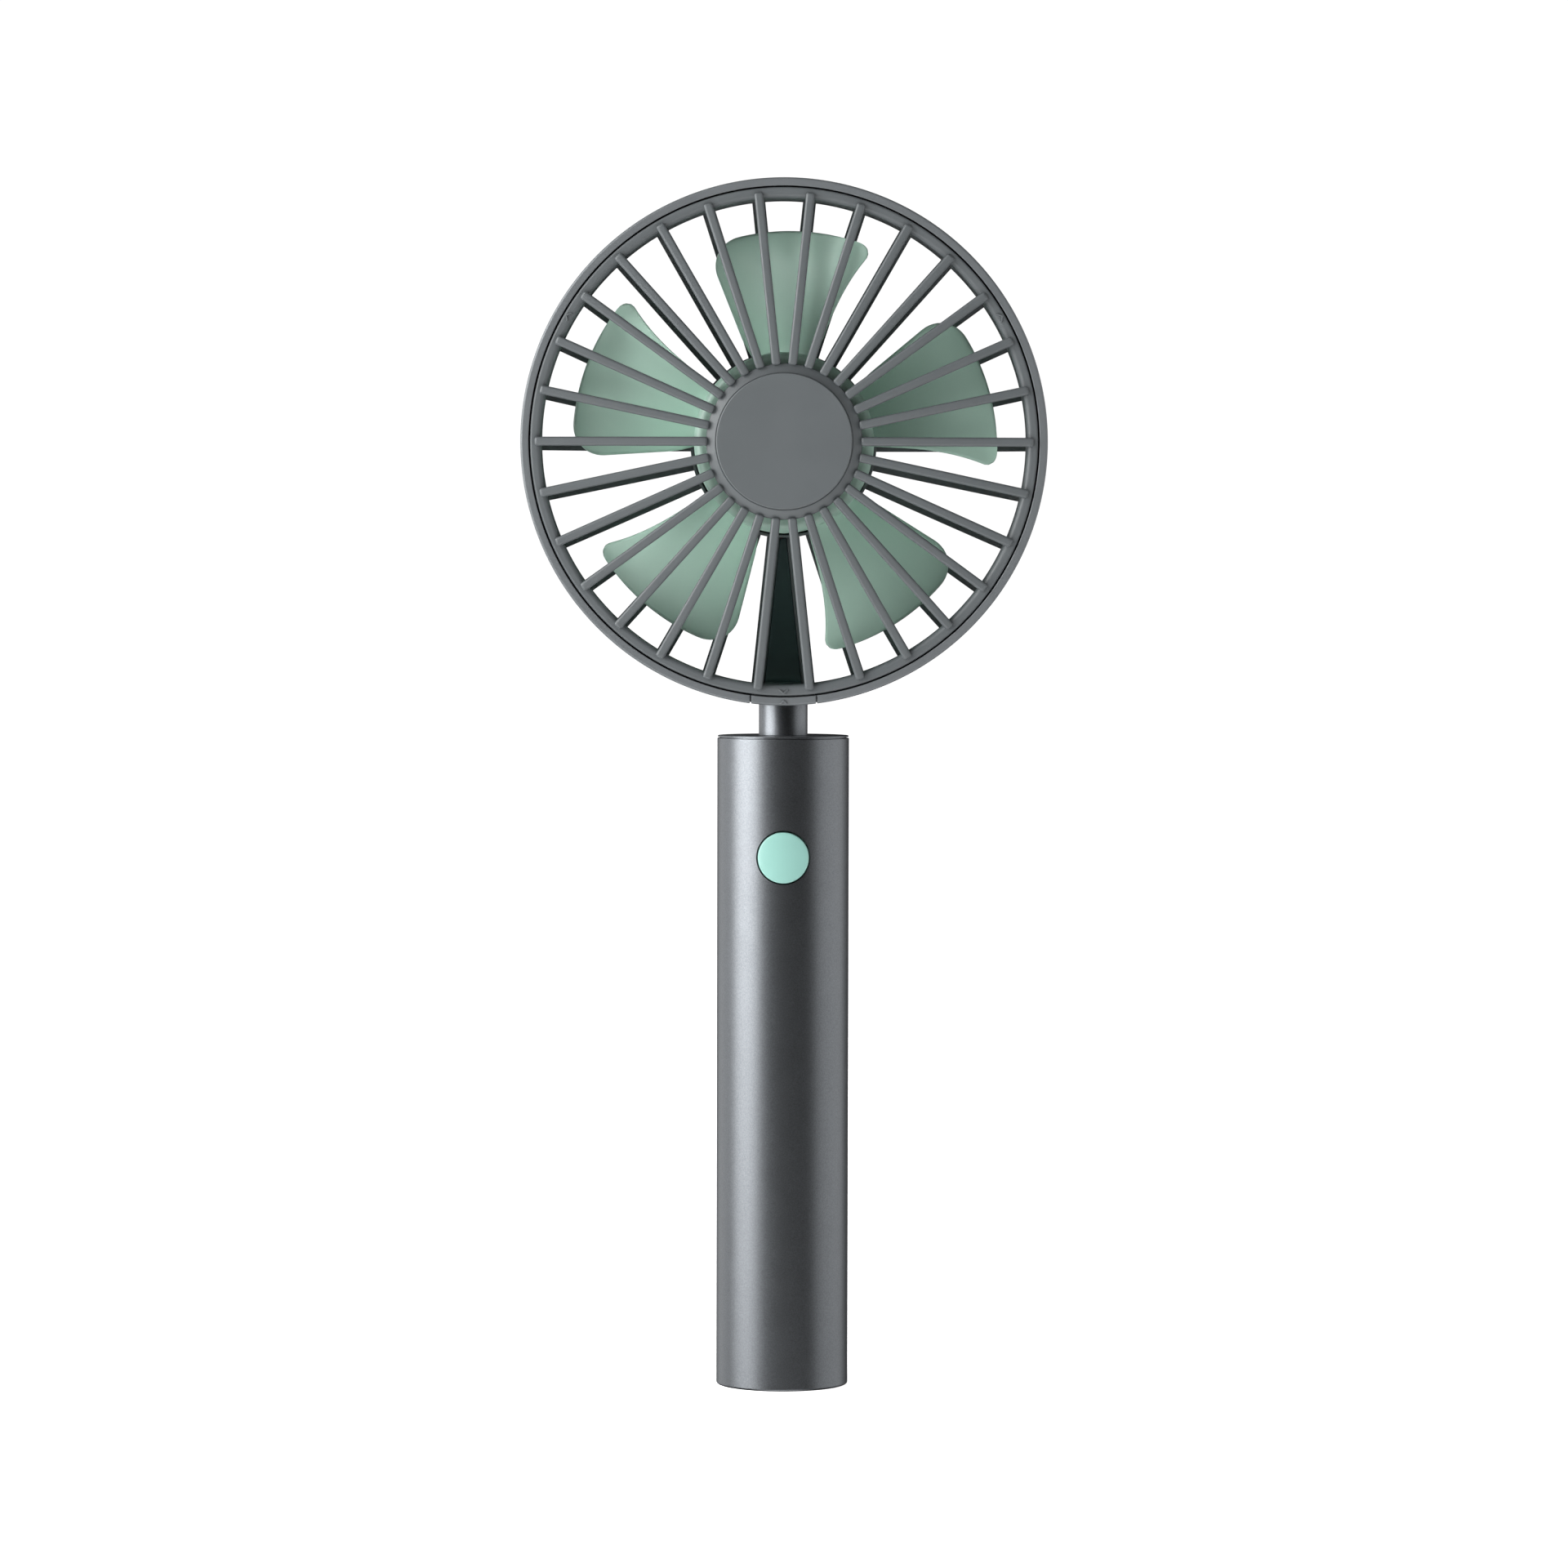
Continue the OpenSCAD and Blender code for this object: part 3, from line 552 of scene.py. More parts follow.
foot = {"cap": 11.25, "capHigh": 3.2, "recess": 8.55, "recessDeep": 0.8, "screwHead": 2.2, "screwSeat": 2.0,
        "screwHole": 1.1}
dress(soften(revolve("bottomCap", fillet([
    (foot["screwHole"], foot["capHigh"], 0), (foot["screwHole"], foot["screwSeat"], 0),
    (foot["screwHead"], foot["screwSeat"], 0), (foot["screwHead"], foot["recessDeep"], 0.1),
    (foot["recess"], foot["recessDeep"], 0), (foot["recess"], 0, 0.12), (foot["cap"], 0, 0.2),
    (foot["cap"], foot["capHigh"], 0.3)]), steps=192)), "fan_body", "grey_plastic", "bottom_cap")

pad = {"radius": 8.5, "high": 0.75, "groove": 0.14, "treads": (2, 4, 6), "treadFoot": 0.35, "treadTop": 0.15,
       "rimFoot": 7.4, "rimTop": 7.6}
padLine = [(0, pad["high"], 0), (0, pad["groove"], 0)]
for r in pad["treads"]:
    padLine += [(r - pad["treadFoot"], pad["groove"], 0.1), (r - pad["treadTop"], 0, 0.08),
                (r + pad["treadTop"], 0, 0.08), (r + pad["treadFoot"], pad["groove"], 0.1)]
padLine += [(pad["rimFoot"], pad["groove"], 0.1), (pad["rimTop"], 0, 0.1), (pad["radius"], 0, 0.25),
            (pad["radius"], pad["high"], 0.05)]
dress(soften(revolve("footPad", fillet(padLine, 3), steps=160)), "fan_body", "foot_rubber", "foot_pad")


def buildButton():
    key = {"radius": 4.8, "face": 12.95, "round": 0.24, "roundSteps": 6, "sides": 120,
           "faceRings": (0, 0.8, 1.6, 2.4, 3.2, 3.9), "flange": 5.9, "post": 1.5, "postEnd": 8.2,
           "flangeBack": 8.6, "flangeFront": 9.4}
    rings = [(r, 0) for r in (*key["faceRings"], key["radius"] - key["round"])]
    for k in range(1, key["roundSteps"] + 1):
        a = math.pi / 2 * k / key["roundSteps"]
        rings.append((key["radius"] - key["round"] * (1 - math.sin(a)), key["round"] * (1 - math.cos(a))))
    points, n = [], key["sides"]
    turns = [2 * math.pi * k / n for k in range(n)]
    for r, drop in rings:  # the face follows a cylinder about the handle's axis
        for a in turns:
            x, z = r * math.cos(a), r * math.sin(a)
            points.append((x, drop - math.sqrt(key["face"] ** 2 - x * x), tube["buttonZ"] + z))
    for r, y in ((key["radius"], key["flangeFront"]), (key["flange"], key["flangeFront"]),
                 (key["flange"], key["flangeBack"]), (key["post"], key["flangeBack"]),
                 (key["post"], key["postEnd"]), (0, key["postEnd"])):
        for a in turns:
            points.append((r * math.cos(a), -y, tube["buttonZ"] + r * math.sin(a)))
    faces = stitch(len(points) // n, n)
    return soften(closeUp(addPiece("powerButton", points, faces)))


dress(buildButton(), "button", "mint_plastic", "power_button", finish="mint_button")


def buildPort():
    port = {"length": 8.94, "high": 3.26, "wall": 0.3, "back": 4.3, "floor": 4.8, "mouth": 11.65,
            "backIn": 0.3, "backStep": 0.15, "lip": 0.12, "lipStep": 0.1}
    length, high, lip = port["length"], port["high"], port["lip"]
    inLength, inHigh = length - 2 * port["wall"], high - 2 * port["wall"]
    lipBack = port["mouth"] - port["lipStep"]
    path = [(length - port["backIn"], high - port["backIn"], port["back"]),
            (length, high, port["back"] + port["backStep"]), (length, high, lipBack),
            (length - lip, high - lip, port["mouth"]), (inLength + lip, inHigh + lip, port["mouth"]),
            (inLength, inHigh, lipBack), (inLength, inHigh, port["floor"])]
    return soften(loft("usbShell", [[(x, y, tube["portZ"] + z) for x, z in stadium(long, tall)]
                                    for long, tall, y in path]))


dress(buildPort(), "fan_body", "nickel", "usb_socket")


def buildLight():
    guide = {"radius": 0.7, "inner": 8.6, "outer": 12.45, "round": 0.3}
    line = fillet([(0, guide["inner"], 0), (guide["radius"], guide["inner"], 0),
                   (guide["radius"], guide["outer"], guide["round"]), (0, guide["outer"], 0)], 6)
    return soften(revolve("lightGuide", line, atLight, 48))


dress(buildLight(), "fan_body", "light_clear", "light_guide")
print("handle made")

# Neck and hoop
neck = {"radius": 4.625, "spigot": 4.0, "bore": 3.1, "collar": 5.5, "collarUp": 1.9, "topUp": 2.6, "down": 10}
hoopFoot = headZ - hoopOut
dress(soften(revolve("neckTube", fillet([
    (neck["bore"], handleTop - neck["down"], 0), (neck["spigot"], handleTop - neck["down"], 0.3),
    (neck["spigot"], handleTop, 0), (neck["radius"], handleTop, 0.08),
    (neck["radius"], hoopFoot + neck["collarUp"], 0), (neck["collar"], hoopFoot + neck["collarUp"], 0),
    (neck["collar"], hoopFoot + neck["topUp"], 0.1), (neck["bore"], hoopFoot + neck["topUp"], 0.1)]),
    steps=160)), "fan_body", "anodised_tube", "neck_tube")

hoop = {"edgeRound": 0.5, "innerRound": 0.15, "gapHalf": 6.375, "endRound": 0.15, "screwOut": 4.2,
        "screwDown": 48.35}
hoopLine = fillet([(hoopIn, -hoopHalf, 0.05), (hoopOut, -hoopHalf, hoop["edgeRound"]),
                   (hoopOut, hoopHalf, hoop["edgeRound"]), (hoopIn, hoopHalf, hoop["innerRound"])], 5)


def hoopEnds(r):
    half = math.asin(hoop["gapHalf"] / r)
    return (-math.pi / 2 + half, 1.5 * math.pi - half)


dress(soften(revolve("headHoop", hoopLine, atHead, 288, hoopEnds), hoop["endRound"], 3, 50),
      "fan_body", "hoop_grey", "head_ring")


def arrowHead(half):  # a thin raised arrow head of a given half width, its tip at zero, pointing along Y
    mark = {"angle": 47, "line": 0.34, "high": 0.3, "sunk": 0.1}
    a = math.radians(mark["angle"])
    dx, dy = half, -half / math.tan(a)
    drop = mark["line"] / math.sin(a)
    outline = [(0, 0), (dx, dy), (dx - mark["line"] * 0.5, dy - drop * 0.55), (0, -drop),
               (-dx + mark["line"] * 0.5, dy - drop * 0.55), (-dx, dy)]
    return [[(x, y, z) for x, y in outline] for z in (-mark["sunk"], mark["high"])]


def buildBlock():  # the hidden tongue closes the view through the seams beside the block
    block = {"half": 6.075, "stepHalf": 5.85, "stepIn": 46.95, "stepLap": 0.02, "stepBack": -10,
             "stepFront": 7.7, "tongueHalf": 6.6, "tongueIn": 48.0, "tongueUnder": 0.25,
             "tongueBack": -9.5, "tongueShort": 0.9,
             "markHalf": 0.78, "markTip": 48.45}

    def ends(r):
        half = math.asin(block["half"] / r)
        return (-math.pi / 2 - half, -math.pi / 2 + half)

    def slab(name, half, low, high, back, ahead):  # a curved slab of an even width
        return revolve(name, [(low, back), (high, back), (high, ahead), (low, ahead)], atHead, 16,
                       lambda r: (-math.pi / 2 - half / r, -math.pi / 2 + half / r))

    outer = soften(revolve("neckBlock", hoopLine, atHead, 24, ends), hoop["endRound"], 3, 50)
    step = slab("blockStep", block["stepHalf"], block["stepIn"], hoopIn + block["stepLap"], block["stepBack"],
                block["stepFront"])
    tongue = slab("blockTongue", block["tongueHalf"], block["tongueIn"], hoopOut - block["tongueUnder"],
                  block["tongueBack"], hoopHalf - block["tongueShort"])
    mark = loft("blockMark", arrowHead(block["markHalf"]),
                lambda p: atHead((p[0], p[1] - block["markTip"], p[2] + hoopHalf)))
    return joinPieces("neckBlock", [outer, soften(step, 0.1, 2, 50), soften(tongue, 0.05, 2),
                                    soften(mark, 0.12, 2)])


dress(buildBlock(), "fan_body", "hoop_grey", "neck_block")


def buildNeckScrews():
    screw = {"head": 1.25, "headHigh": 0.8, "shank": 0.8, "shankLong": 5, "slot": 0.36, "slotLong": 2.0,
             "slotDeep": 0.4, "seat": 0.9}
    body = revolve("neckScrews", fillet([
        (0, -screw["shankLong"], 0), (screw["shank"], -screw["shankLong"], 0.15), (screw["shank"], 0, 0),
        (screw["head"], 0, 0.05), (screw["head"], screw["headHigh"], 0.25),
        (0, screw["headHigh"], 0)]), steps=64)
    wide, long = screw["slot"] / 2, screw["slotLong"] / 2
    sides = [(-long, -wide), (long, -wide), (long, wide), (-long, wide)]
    for turned in (False, True):  # a cross, cut as two slots
        cutWith(body, loft("slotCut", [[(y, x, z) if turned else (x, y, z) for x, y in sides]
                                       for z in (screw["headHigh"] - screw["slotDeep"], 2)]))
    body.data.transform(Matrix.Rotation(-math.pi / 2, 4, "X"))  # the head looks backwards
    soften(body, 0.03, 2, 50)
    return repeat(body, rowTree, {
        "Count": 2, "Finish": finishes["screw_steel"],
        "Start": [c * mm for c in (-hoop["screwOut"], hoopHalf + screw["seat"], headZ - hoop["screwDown"])],
        "Spacing": [2 * hoop["screwOut"] * mm, 0, 0]})


dress(buildNeckScrews(), "fan_body", "screw_steel", "neck_screws")
print("neck and hoop made")

# Guards: both have ribs at the middles of equal steps
guard = {"ribs": 30, "wallIn": 46.9, "wallOut": 47.9, "wallFront": 7.7, "flangeIn": 46.4, "flangeOut": 49.2,
         "flangeBack": -11.7, "flangeFront": -10.1, "lugBack": 2.8, "lugFront": 4.7, "lugDeep": 0.55,
         "cupIn": 17.3, "cupOut": 17.85, "cupFront": -13, "baseBack": -18.8, "baseFront": -16.5,
         "tubeOut": 3.5,
         "capSeat": 9.0, "capSeatDeep": 0.6, "ribWide": 2.5, "ribDeep": 2.6, "ribRound": 0.3, "ribLap": 0.3,
         "ribSteps": 22, "webThick": 0.8, "notchHalf": 5.925, "notchFront": 20, "notchSpan": (-52, -40),
         "seat": 1.35, "seatDeep": 0.8, "seatLong": 2}
domed = {"low": -16.2, "rise": 7, "from": 17.8, "over": 28.2}


def dome(r):  # how far forward the front of a rear rib is
    return domed["low"] + domed["rise"] * (max(0, r - domed["from"]) / domed["over"]) ** 2


def ringValues(finish, count=guard["ribs"], first=0.5):
    step = 2 * math.pi / count
    return {"Count": count, "Step": step, "First": first * step + math.pi / 2,
            "Centre": [0, 0, headZ * mm], "Finish": finishes[finish]}


def aroundAxis(p):  # (outwards, sideways, forward) to a shape about the middle of the head
    return (p[0], -p[2], p[1])


def pathBox(name, line, wide, deep, place):  # a bar along a line of (outwards, forward) points
    rings = []
    for i, (r, h) in enumerate(line):
        along = heading(line, i)
        back = Vector((along.y, -along.x)) * deep
        if i in (0, len(line) - 1):
            back = Vector((0, -deep))
        rings.append([(r, -wide / 2, h), (r, wide / 2, h), (r + back.x, wide / 2, h + back.y),
                      (r + back.x, -wide / 2, h + back.y)])
    return loft(name, rings, place)


def buildRearGuard():
    wall = revolve("rearGuard", fillet([
        (guard["flangeIn"], guard["flangeBack"], 0.3), (guard["flangeOut"], guard["flangeBack"], 0.5),
        (guard["flangeOut"], guard["flangeFront"], 0.1), (guard["wallOut"], guard["flangeFront"], 0),
        (guard["wallOut"], guard["wallFront"], 0.15), (guard["wallIn"], guard["wallFront"], 0.15),
        (guard["wallIn"], guard["lugFront"], 0), (guard["wallIn"] + guard["lugDeep"], guard["lugFront"], 0),
        (guard["wallIn"] + guard["lugDeep"], guard["lugBack"], 0), (guard["wallIn"], guard["lugBack"], 0),
        (guard["wallIn"], guard["flangeFront"], 0),
        (guard["flangeIn"], guard["flangeFront"], 0.2)]), atHead, 288)
    side, low, high = guard["notchHalf"], guard["flangeFront"], guard["notchFront"]
    corners = ((-side, low), (side, low), (side, high), (-side, high))
    notch = loft("notchCut", [[atHead((x, y, z)) for x, z in corners] for y in guard["notchSpan"]])
    seat, long, floor = guard["seat"], guard["seatLong"], guard["flangeBack"] + guard["seatDeep"]
    seats = [revolve("seatCut", [(0, 0), (seat, 0), (seat, long), (0, long)], lambda p, s=s: atHead(
        (p[0] + s * hoop["screwOut"], p[1] - hoop["screwDown"], floor - p[2])), 40) for s in (-1, 1)]
    cutWith(wall, notch, *seats)
    base = revolve("rearBase", fillet([
        (guard["tubeOut"], guard["baseBack"] + guard["capSeatDeep"], 0),
        (guard["capSeat"], guard["baseBack"] + guard["capSeatDeep"], 0),
        (guard["capSeat"], guard["baseBack"], 0.12),
        (guard["cupOut"], guard["baseBack"], 0.5), (guard["cupOut"], guard["cupFront"], 0.15),
        (guard["cupIn"], guard["cupFront"], 0.15), (guard["cupIn"], guard["baseFront"], 0.3),
        (guard["tubeOut"], guard["baseFront"], 0)]), atHead, 192)
    radii = between(guard["cupOut"] - guard["ribLap"], guard["wallIn"] + guard["ribLap"], guard["ribSteps"])
    ribs = pathBox("rearRibs", [(r, dome(r)) for r in radii], guard["ribWide"], guard["ribDeep"], aroundAxis)
    repeat(soften(ribs, guard["ribRound"], 3, 50), ringTree, ringValues("grey_plastic"))
    half = math.radians(ribStep / 2)
    sides = ((-half, 0), (half, 0), (half, guard["webThick"]), (-half, guard["webThick"]))
    panel = loft("wirePanel", [[atHead((r * math.sin(a), -r * math.cos(a), dome(r) - guard["ribDeep"] + t))
                                for a, t in sides] for r in radii])
    return joinPieces("rearGuard", [soften(wall), soften(base), soften(ribs), soften(panel)])


dress(buildRearGuard(), "fan_body", "grey_plastic", "rear_grille")


def buildWireCover():
    cover = {"thick": 0.6, "inner": 17.95, "outer": 44.6, "steps": 22, "bend": (45.25, 45.2, 0.1),
             "turn": (45.65, -8.9), "wall": 45.8, "wallUp": (-8.2, -4, 1.5), "gap": 0.03, "round": 0.15}
    half = math.radians(ribStep / 2)
    radii = between(cover["inner"], cover["outer"], cover["steps"])
    line = [(r, dome(r) - cover["thick"] / 2) for r in radii]
    out, domeAt, drop = cover["bend"]
    line += [(out, dome(domeAt) - drop), cover["turn"], *((cover["wall"], up) for up in cover["wallUp"])]
    rings = []
    for i, (r, h) in enumerate(line):
        along = heading(line, i)
        off = Vector((-along.y, along.x)) * cover["thick"] / 2
        wide = r * math.sin(half) - guard["ribWide"] / 2 / math.cos(half) - cover["gap"]
        rings.append([(-wide, -(r + off.x), h + off.y), (wide, -(r + off.x), h + off.y),
                      (wide, -(r - off.x), h - off.y), (-wide, -(r - off.x), h - off.y)])
    return soften(loft("wireCover", rings, atHead), cover["round"], 3, 50)


# the wire cover's near-black teal finish is painted shade, with a painted green cast of light from the blades
dress(buildWireCover(), "fan_body", "dark_plastic", "wire_cover")

rearCap = {"radius": 8.9, "back": -19.2, "front": -18.2, "round": 0.3, "groove": 6.6}
dress(soften(revolve("rearCap", fillet([
    (0, rearCap["front"], 0), (rearCap["radius"], rearCap["front"], 0),
    (rearCap["radius"], rearCap["back"], rearCap["round"]), (rearCap["groove"] + 0.3, rearCap["back"], 0.08),
    (rearCap["groove"], rearCap["back"] + 0.25, 0.08), (rearCap["groove"] - 0.3, rearCap["back"], 0.08),
    (0, rearCap["back"], 0)]), atHead, 144)), "fan_body", "grey_plastic", "rear_cap")
print("rear guard made")

# Front cover: a rim, deep bars, and a hub plate with its disc
front = {"rimIn": 45.7, "rimOut": 47.75, "rimTop": 10, "rimThick": 2, "rimRound": 0.42, "rimSlope": 0.95,
         "skirtOut": 46.6, "skirtBack": 2.5, "hubEnd": 14.4, "rimEnd": 46.9, "barSteps": 26, "barWide": 1.7,
         "barThick": 1.6, "barRound": 0.5, "webWide": 1.3, "webDeep": 4.3, "webRound": 0.2, "webLap": 0.2,
         "plate": 14.65, "plateBack": 9.6, "plateEdge": 12.0, "lip": 13.0, "lipIn": 12.85, "lipTop": 12.88,
         "seat": 12.3, "disc": 12.8, "discFront": 13.9, "discRound": 0.26, "markHalf": 0.97, "markTip": 47.55}
lug = {"middles": (90, 210, 330), "half": 4, "inner": 46.5, "outer": 47.35, "back": 3, "front": 4.5,
       "round": 0.15}
crown = {"rim": 10.9, "rise": 2.1, "from": 15.25, "over": 30.8, "power": 1.5}


def barTop(r):  # how far forward the top of a front bar is
    share = min(1, max(0, (r - crown["from"]) / crown["over"]))
    return crown["rim"] + crown["rise"] * (1 - share ** crown["power"])


def buildLug(middle):
    span = [math.radians(middle + side * lug["half"]) for side in (-1, 1)]
    return soften(revolve("lug", [(lug["inner"], lug["back"]), (lug["outer"], lug["back"]),
                                  (lug["outer"], lug["front"]), (lug["inner"], lug["front"])],
                          atHead, 8, lambda r: span), lug["round"], 2, 50)


def buildFrontGuard():
    under = front["rimTop"] - front["rimThick"]
    rim = revolve("frontGuard", fillet([
        (front["rimIn"], front["skirtBack"], 0.2), (front["skirtOut"], front["skirtBack"], 0.2),
        (front["skirtOut"], under, 0), (front["rimOut"], under, 0.1),
        (front["rimOut"], front["rimTop"], front["rimRound"]),
        (front["rimIn"], front["rimTop"], front["rimSlope"])], 6), atHead, 288)
    lugs = [buildLug(middle) for middle in lug["middles"]]
    radii = between(front["hubEnd"], front["rimEnd"], front["barSteps"])
    bars = soften(pathBox("frontBars", [(r, barTop(r)) for r in radii], front["barWide"], front["barThick"],
                          aroundAxis), front["barRound"], 4, 50)
    deep = [(r, barTop(r) - 1) for r in radii if r < front["rimIn"] + front["webLap"]]
    webs = soften(pathBox("barWebs", deep, front["webWide"], front["webDeep"] - 1, aroundAxis),
                  front["webRound"], 3, 50)
    for shape in (bars, webs):
        repeat(shape, ringTree, ringValues("grey_plastic"))
    plate = revolve("hubPlate", fillet([
        (0, front["plateBack"], 0), (front["plate"], front["plateBack"], 0.5),
        (front["plate"], front["plateEdge"], 0.35), (front["lip"], front["lipTop"], 0.3),
        (front["lipIn"], front["lipTop"], 0.04), (front["lipIn"], front["seat"], 0),
        (0, front["seat"], 0)]), atHead, 192)
    mark = loft("rimMarks", arrowHead(front["markHalf"]),
                lambda p: (p[0], -(p[2] + front["rimTop"]), p[1] + front["markTip"]))
    soften(mark, 0.12, 2)
    mark.data.transform(Matrix.Rotation(math.radians(90), 4, "Y"))
    values = ringValues("grey_plastic", len(lug["middles"]), 0)
    values["First"] = math.radians(lug["middles"][0] - 60)  # between the lugs
    repeat(mark, ringTree, values)
    return joinPieces("frontGuard", [soften(rim), *lugs, soften(bars), soften(webs), soften(plate), mark])


dress(buildFrontGuard(), "front_cover", "grey_plastic", "front_grille")
dress(soften(revolve("hubDisc", fillet([
    (0, front["seat"], 0), (front["disc"], front["seat"], 0),
    (front["disc"], front["discFront"], front["discRound"]), (0, front["discFront"], 0)], 5),
    atHead, 192)), "front_cover", "grey_plastic", "hub_cap")
print("front cover made")

# Impeller: a hub over the motor, and five blades whose edges follow rules
fan = {"blades": 5, "hub": 17.0, "hubBack": -15.9, "hubFront": 7.5, "hubRound": 1.7, "cupRadius": 15.4,
       "cupTop": -0.6, "shaft": 1.0, "shaftEnd": 4, "boss": 2.8, "skin": 1.3, "root": 16.2, "tip": 40.4,
       "thick": 1.1, "edge": 0.62, "flare": 1.5, "flareOver": 0.9, "outwards": 30, "across": 26}
lead = {"at": 21.7, "swing": 2.2, "from": 22, "over": 5, "tipFrom": 34.2, "tipOver": 6.2, "tipSwing": 9.7}
trail = {"at": -20.6, "swing": 3.9, "from": 22, "over": 17, "tipFrom": 37.9, "tipOver": 2.5, "tipSwing": 4.6}
twist = {"rootAt": 16, "start": -11.5, "startRise": 2.5, "climb": 16, "climbLoss": 5, "even": 0.82,
         "curved": 0.18}


def tipRound(r, rule):  # how far a corner turns in towards the tip, in degrees
    share = min(1, max(0, (r - rule["tipFrom"]) / rule["tipOver"]))
    return rule["tipSwing"] * (1 - math.sqrt(1 - share ** 2))


def leadEdge(r):  # angles of a blade's two edges at a radius, in degrees
    swing = lead["swing"] * (max(0, lead["from"] - r) / lead["over"]) ** 2
    return lead["at"] - swing - tipRound(r, lead)


def trailEdge(r):
    swing = trail["swing"] * (max(0, r - trail["from"]) / trail["over"]) ** 2
    return trail["at"] - swing + tipRound(r, trail)


def bladeMiddle(r, t):  # how far forward a blade is, from its leading edge at 0 to its trailing edge at 1
    k = (r - twist["rootAt"]) / (fan["tip"] - twist["rootAt"])
    climb = twist["climb"] - twist["climbLoss"] * k
    return twist["start"] + twist["startRise"] * k + climb * (twist["even"] * t + twist["curved"] * t * t)


edgeSteps = [0, 0.06, 0.2, 0.45, 0.75, 1]


def stations(length, edge, count):  # close together at the two ends, even between
    inner = [edge + (length - 2 * edge) * i / count for i in range(1, count)]
    return [k * edge for k in edgeSteps] + inner + [length - k * edge for k in reversed(edgeSteps)]


def bladeThick(s, edge):  # falls to nothing round the edge, as a full round does
    return math.sqrt(max(0, 1 - (1 - min(s, edge) / edge) ** 2))


def buildImpeller():
    radii = between(fan["root"], fan["tip"] - fan["edge"], fan["outwards"])[:-1]
    radii += [fan["tip"] - fan["edge"] * k for k in reversed(edgeSteps)]
    upper, lower = [], []
    for r in radii:
        first, last = leadEdge(r), trailEdge(r)
        length = math.radians(first - last) * r
        flare = 1 + fan["flare"] * (math.exp(-(r - fan["hub"]) / fan["flareOver"]) if r > fan["hub"] else 1)
        for s in stations(length, fan["edge"], fan["across"]):
            t = s / length
            a = math.radians(first + (last - first) * t)
            h = bladeThick(min(s, length - s), fan["edge"]) * bladeThick(fan["tip"] - r, fan["edge"])
            h *= fan["thick"] / 2 * flare
            z = bladeMiddle(r, t)
            upper.append((r * math.sin(-a), r * math.cos(a), z + h))
            lower.append((r * math.sin(-a), r * math.cos(a), z - h))
    wide = len(upper) // len(radii)
    faces, n = [], len(upper)
    for i in range(len(radii) - 1):
        for j in range(wide - 1):
            k = i * wide + j
            faces.append((k, k + 1, k + wide + 1, k + wide))
            faces.append((n + k, n + k + wide, n + k + wide + 1, n + k + 1))
    faces.append(list(range(wide)) + [n + k for k in range(wide - 1, -1, -1)])
    blades = closeUp(addPiece("impeller", upper + lower, faces, lambda p: (p[0], -p[2], p[1])))  # about Y
    blades.data.shade_smooth()
    values = ringValues("mint_plastic", fan["blades"], 0)
    values["First"] = 0
    repeat(blades, ringTree, values)
    hub = revolve("impellerHub", fillet([
        (fan["cupRadius"], fan["hubBack"], 0), (fan["hub"], fan["hubBack"], 0.3),
        (fan["hub"], fan["hubFront"], fan["hubRound"]), (0, fan["hubFront"], 0), (0, fan["shaftEnd"], 0),
        (fan["shaft"], fan["shaftEnd"], 0), (fan["shaft"], fan["cupTop"], 0), (fan["boss"], fan["cupTop"], 0),
        (fan["boss"], fan["hubFront"] - fan["skin"], 0.4),
        (fan["cupRadius"], fan["hubFront"] - fan["skin"], 0)], 7), atHead, 192)
    blades.data.set_sharp_from_angle(angle=math.radians(60))
    return joinPieces("impeller", [blades, soften(hub)])


dress(buildImpeller(), "rotor", "mint_plastic", "impeller")
print("impeller made")

# CAD parts that stay as they are get their finishes
slotOf = {part["node"]: part["material_slot"] for part in frame["record"]["subparts"]}
stoodFor = {name for piece in scene.objects for name in piece.get("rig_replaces", [])}
for name, node in frame["nodes"].items():
    if name not in stoodFor:
        node.data.materials.clear()
        node.data.materials.append(finishes[slotOf[name]])
print("CAD parts finished:", len(frame["nodes"]) - len(stoodFor))


# Studio: a pale floor, soft lights at both sides, behind and above, and one for what a pale table throws up
studio = {"floor": 30.0, "floorDeep": 20, "floorColour": (0.93, 0.93, 0.93), "floorGlow": 0.9,
          "backdrop": 1.05, "ambient": 0.3, "mirrored": 0.02, "aim": (0, 0, 0.14)}
lamps = {  # where each one is, in metres, its size and its power
    "keyLeft": ((-1.066, -0.431, 0.5), (1.08, 1.2), 33),
    "backLeft": ((-0.906, 0.708, 0.25), (0.9, 1.2), 4),
    "fillRight": ((1.146, 0.1, 0.25), (1.7, 1.2), 8),
    "topFront": ((-0.15, -0.9, 1.25), (1.2, 0.7), 1),
    "tableGlow": ((0, -0.85, -0.8), (1.6, 0.6), 9),
}


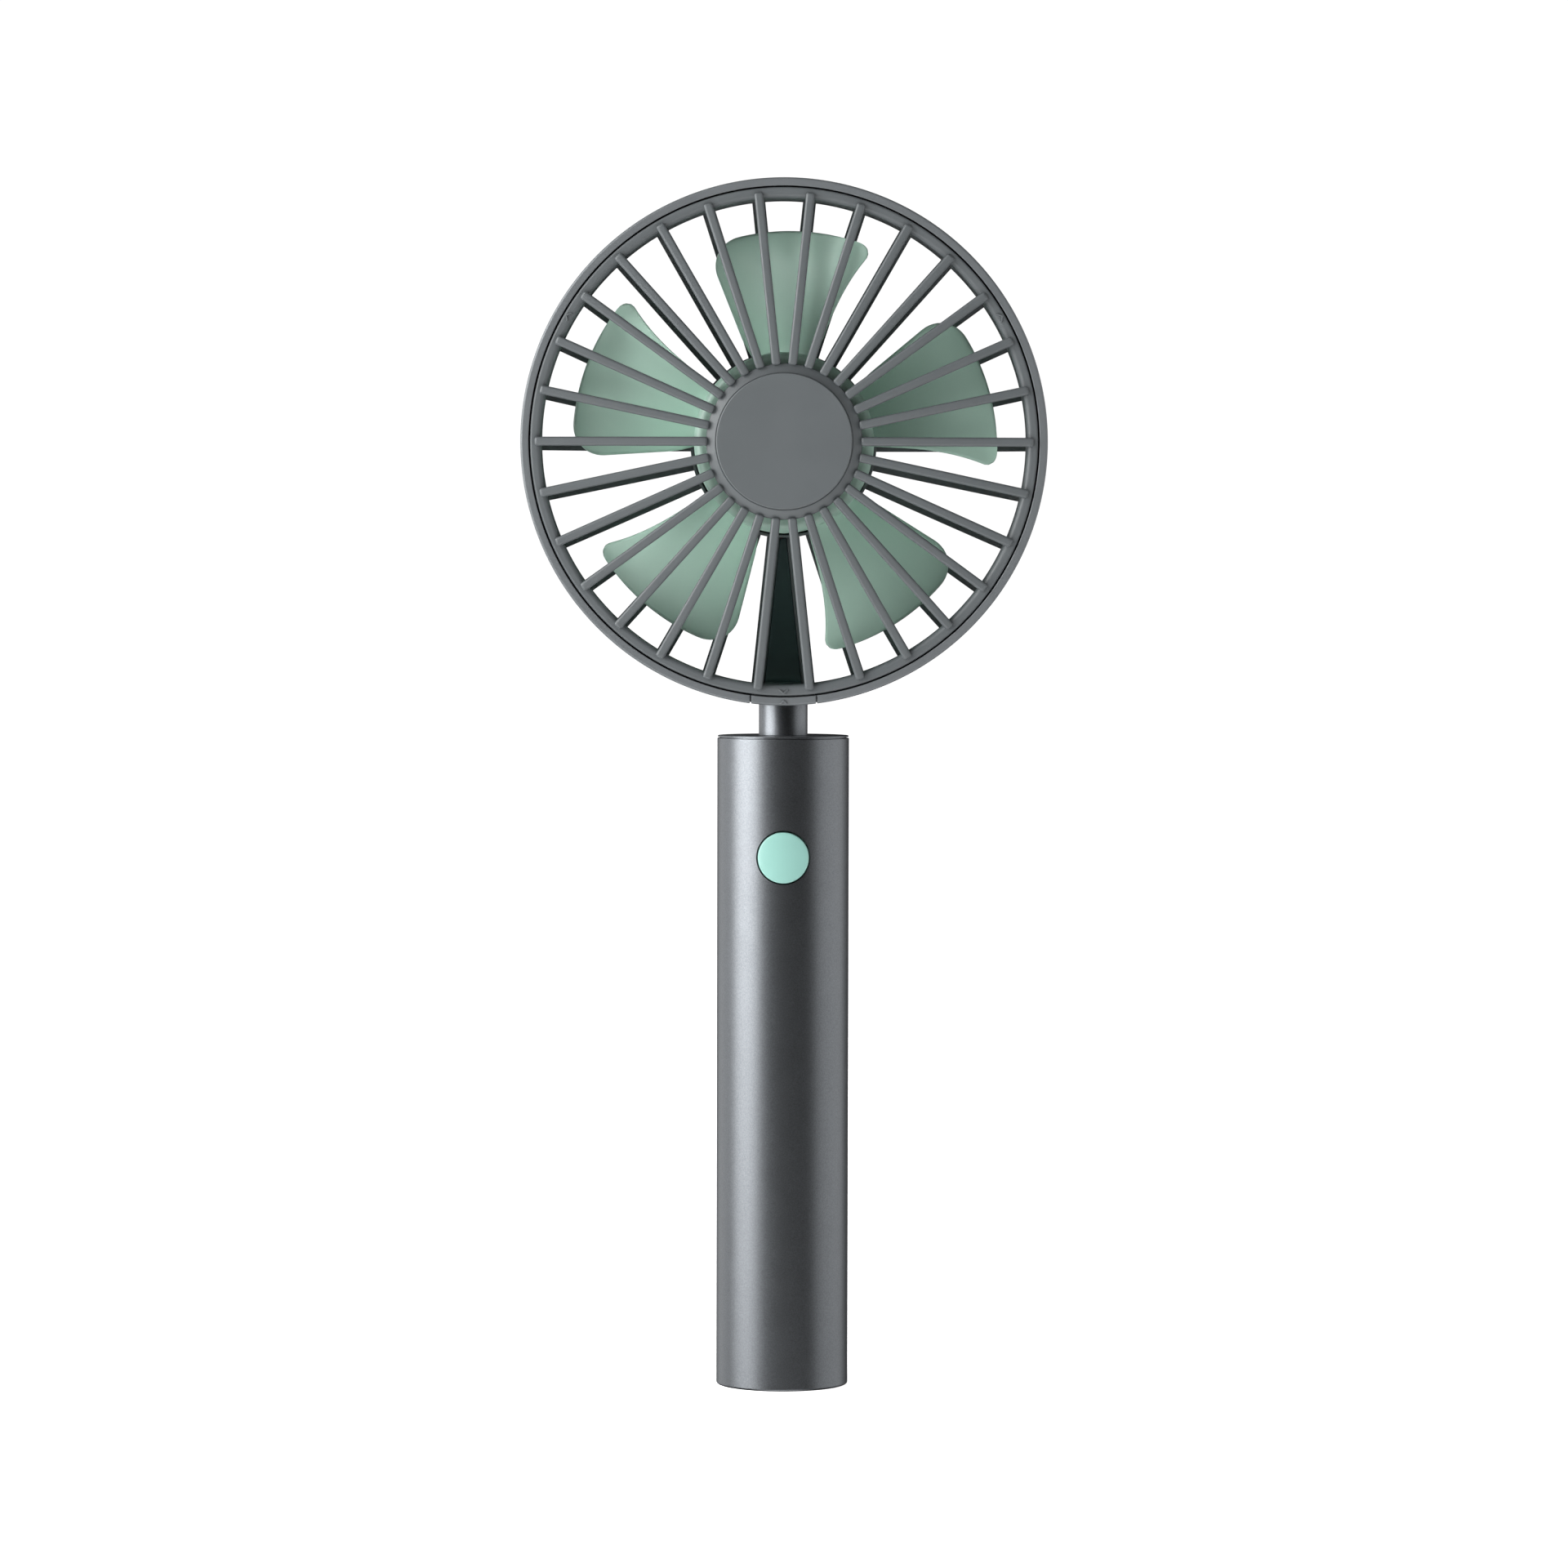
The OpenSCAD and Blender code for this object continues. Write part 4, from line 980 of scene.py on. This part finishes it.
def buildFloor():
    edge, deep = studio["floor"] / mm, studio["floorDeep"]
    floor = revolve("paleFloor", [(0, 0), (edge, 0), (edge, -deep), (0, -deep)], steps=96)
    material = newFinish("pale_floor", lambda root: blendColour(
        noise(placeInMm(root), 400, 2), studio["floorColour"] + (1,), shade(studio["floorColour"], 1.01)),
        lambda root: noise(placeInMm(root), 300, 1) * 0.1 + 0.6, Emission_Color=(1, 1, 1, 1),
        Emission_Strength=studio["floorGlow"])
    floor.data.materials.append(material)
    floor.visible_glossy = floor.visible_shadow = False


def addLight(name, place, size, power):  # a soft panel turned towards the object
    lamp = bpy.data.lights.new(name, "AREA")
    lamp.shape, lamp.size, lamp.size_y = "RECTANGLE", size[0], size[1]
    lamp.energy = power
    holder = bpy.data.objects.new(name, lamp)
    scene.collection.objects.link(holder)
    holder.location = place
    holder.rotation_euler = (Vector(place) - Vector(studio["aim"])).to_track_quat("Z", "Y").to_euler()
    holder.visible_camera = False


def buildWorld():  # what is seen, what lights the object and what it mirrors have their own strengths
    world = bpy.data.worlds.new("studioRoom")
    world.use_nodes = True
    scene.world = world
    tree = world.node_tree
    tree.nodes.clear()
    root = Flow(tree)
    seen, soft, mirrored = (root.add("ShaderNodeLightPath", out=k) for k in (0, 2, 3))
    strength = seen * studio["backdrop"] + soft * studio["ambient"] + mirrored * studio["mirrored"]
    room = root.add("ShaderNodeBackground", {}, {"Color": (1, 1, 1, 1), "Strength": strength})
    tree.links.new(room.socket, tree.nodes.new("ShaderNodeOutputWorld").inputs["Surface"])


buildFloor()
buildWorld()
for name, (place, size, power) in lamps.items():
    addLight(name, place, size, power)
scene.view_settings.view_transform = "Standard"

view = {"place": (-0.00583, -1.092, 0.15355), "aim": (0.00017, 0, 0.11425), "roll": 0.13, "lens": 132.03,
        "sensor": 36, "near": 0.01, "far": 50}


def buildCamera():
    camera = bpy.data.objects.new("mainCamera", bpy.data.cameras.new("mainCamera"))
    scene.collection.objects.link(camera)
    camera.data.lens, camera.data.sensor_width = view["lens"], view["sensor"]
    camera.data.clip_start, camera.data.clip_end = view["near"], view["far"]
    aimed = (Vector(view["aim"]) - Vector(view["place"])).to_track_quat("-Z", "Y").to_matrix().to_4x4()
    rolled = Matrix.Rotation(math.radians(view["roll"]), 4, "Z")
    camera.matrix_world = Matrix.Translation(view["place"]) @ aimed @ rolled
    scene.camera = camera


buildCamera()
bpy.context.view_layer.update()
print("studio and camera ready")
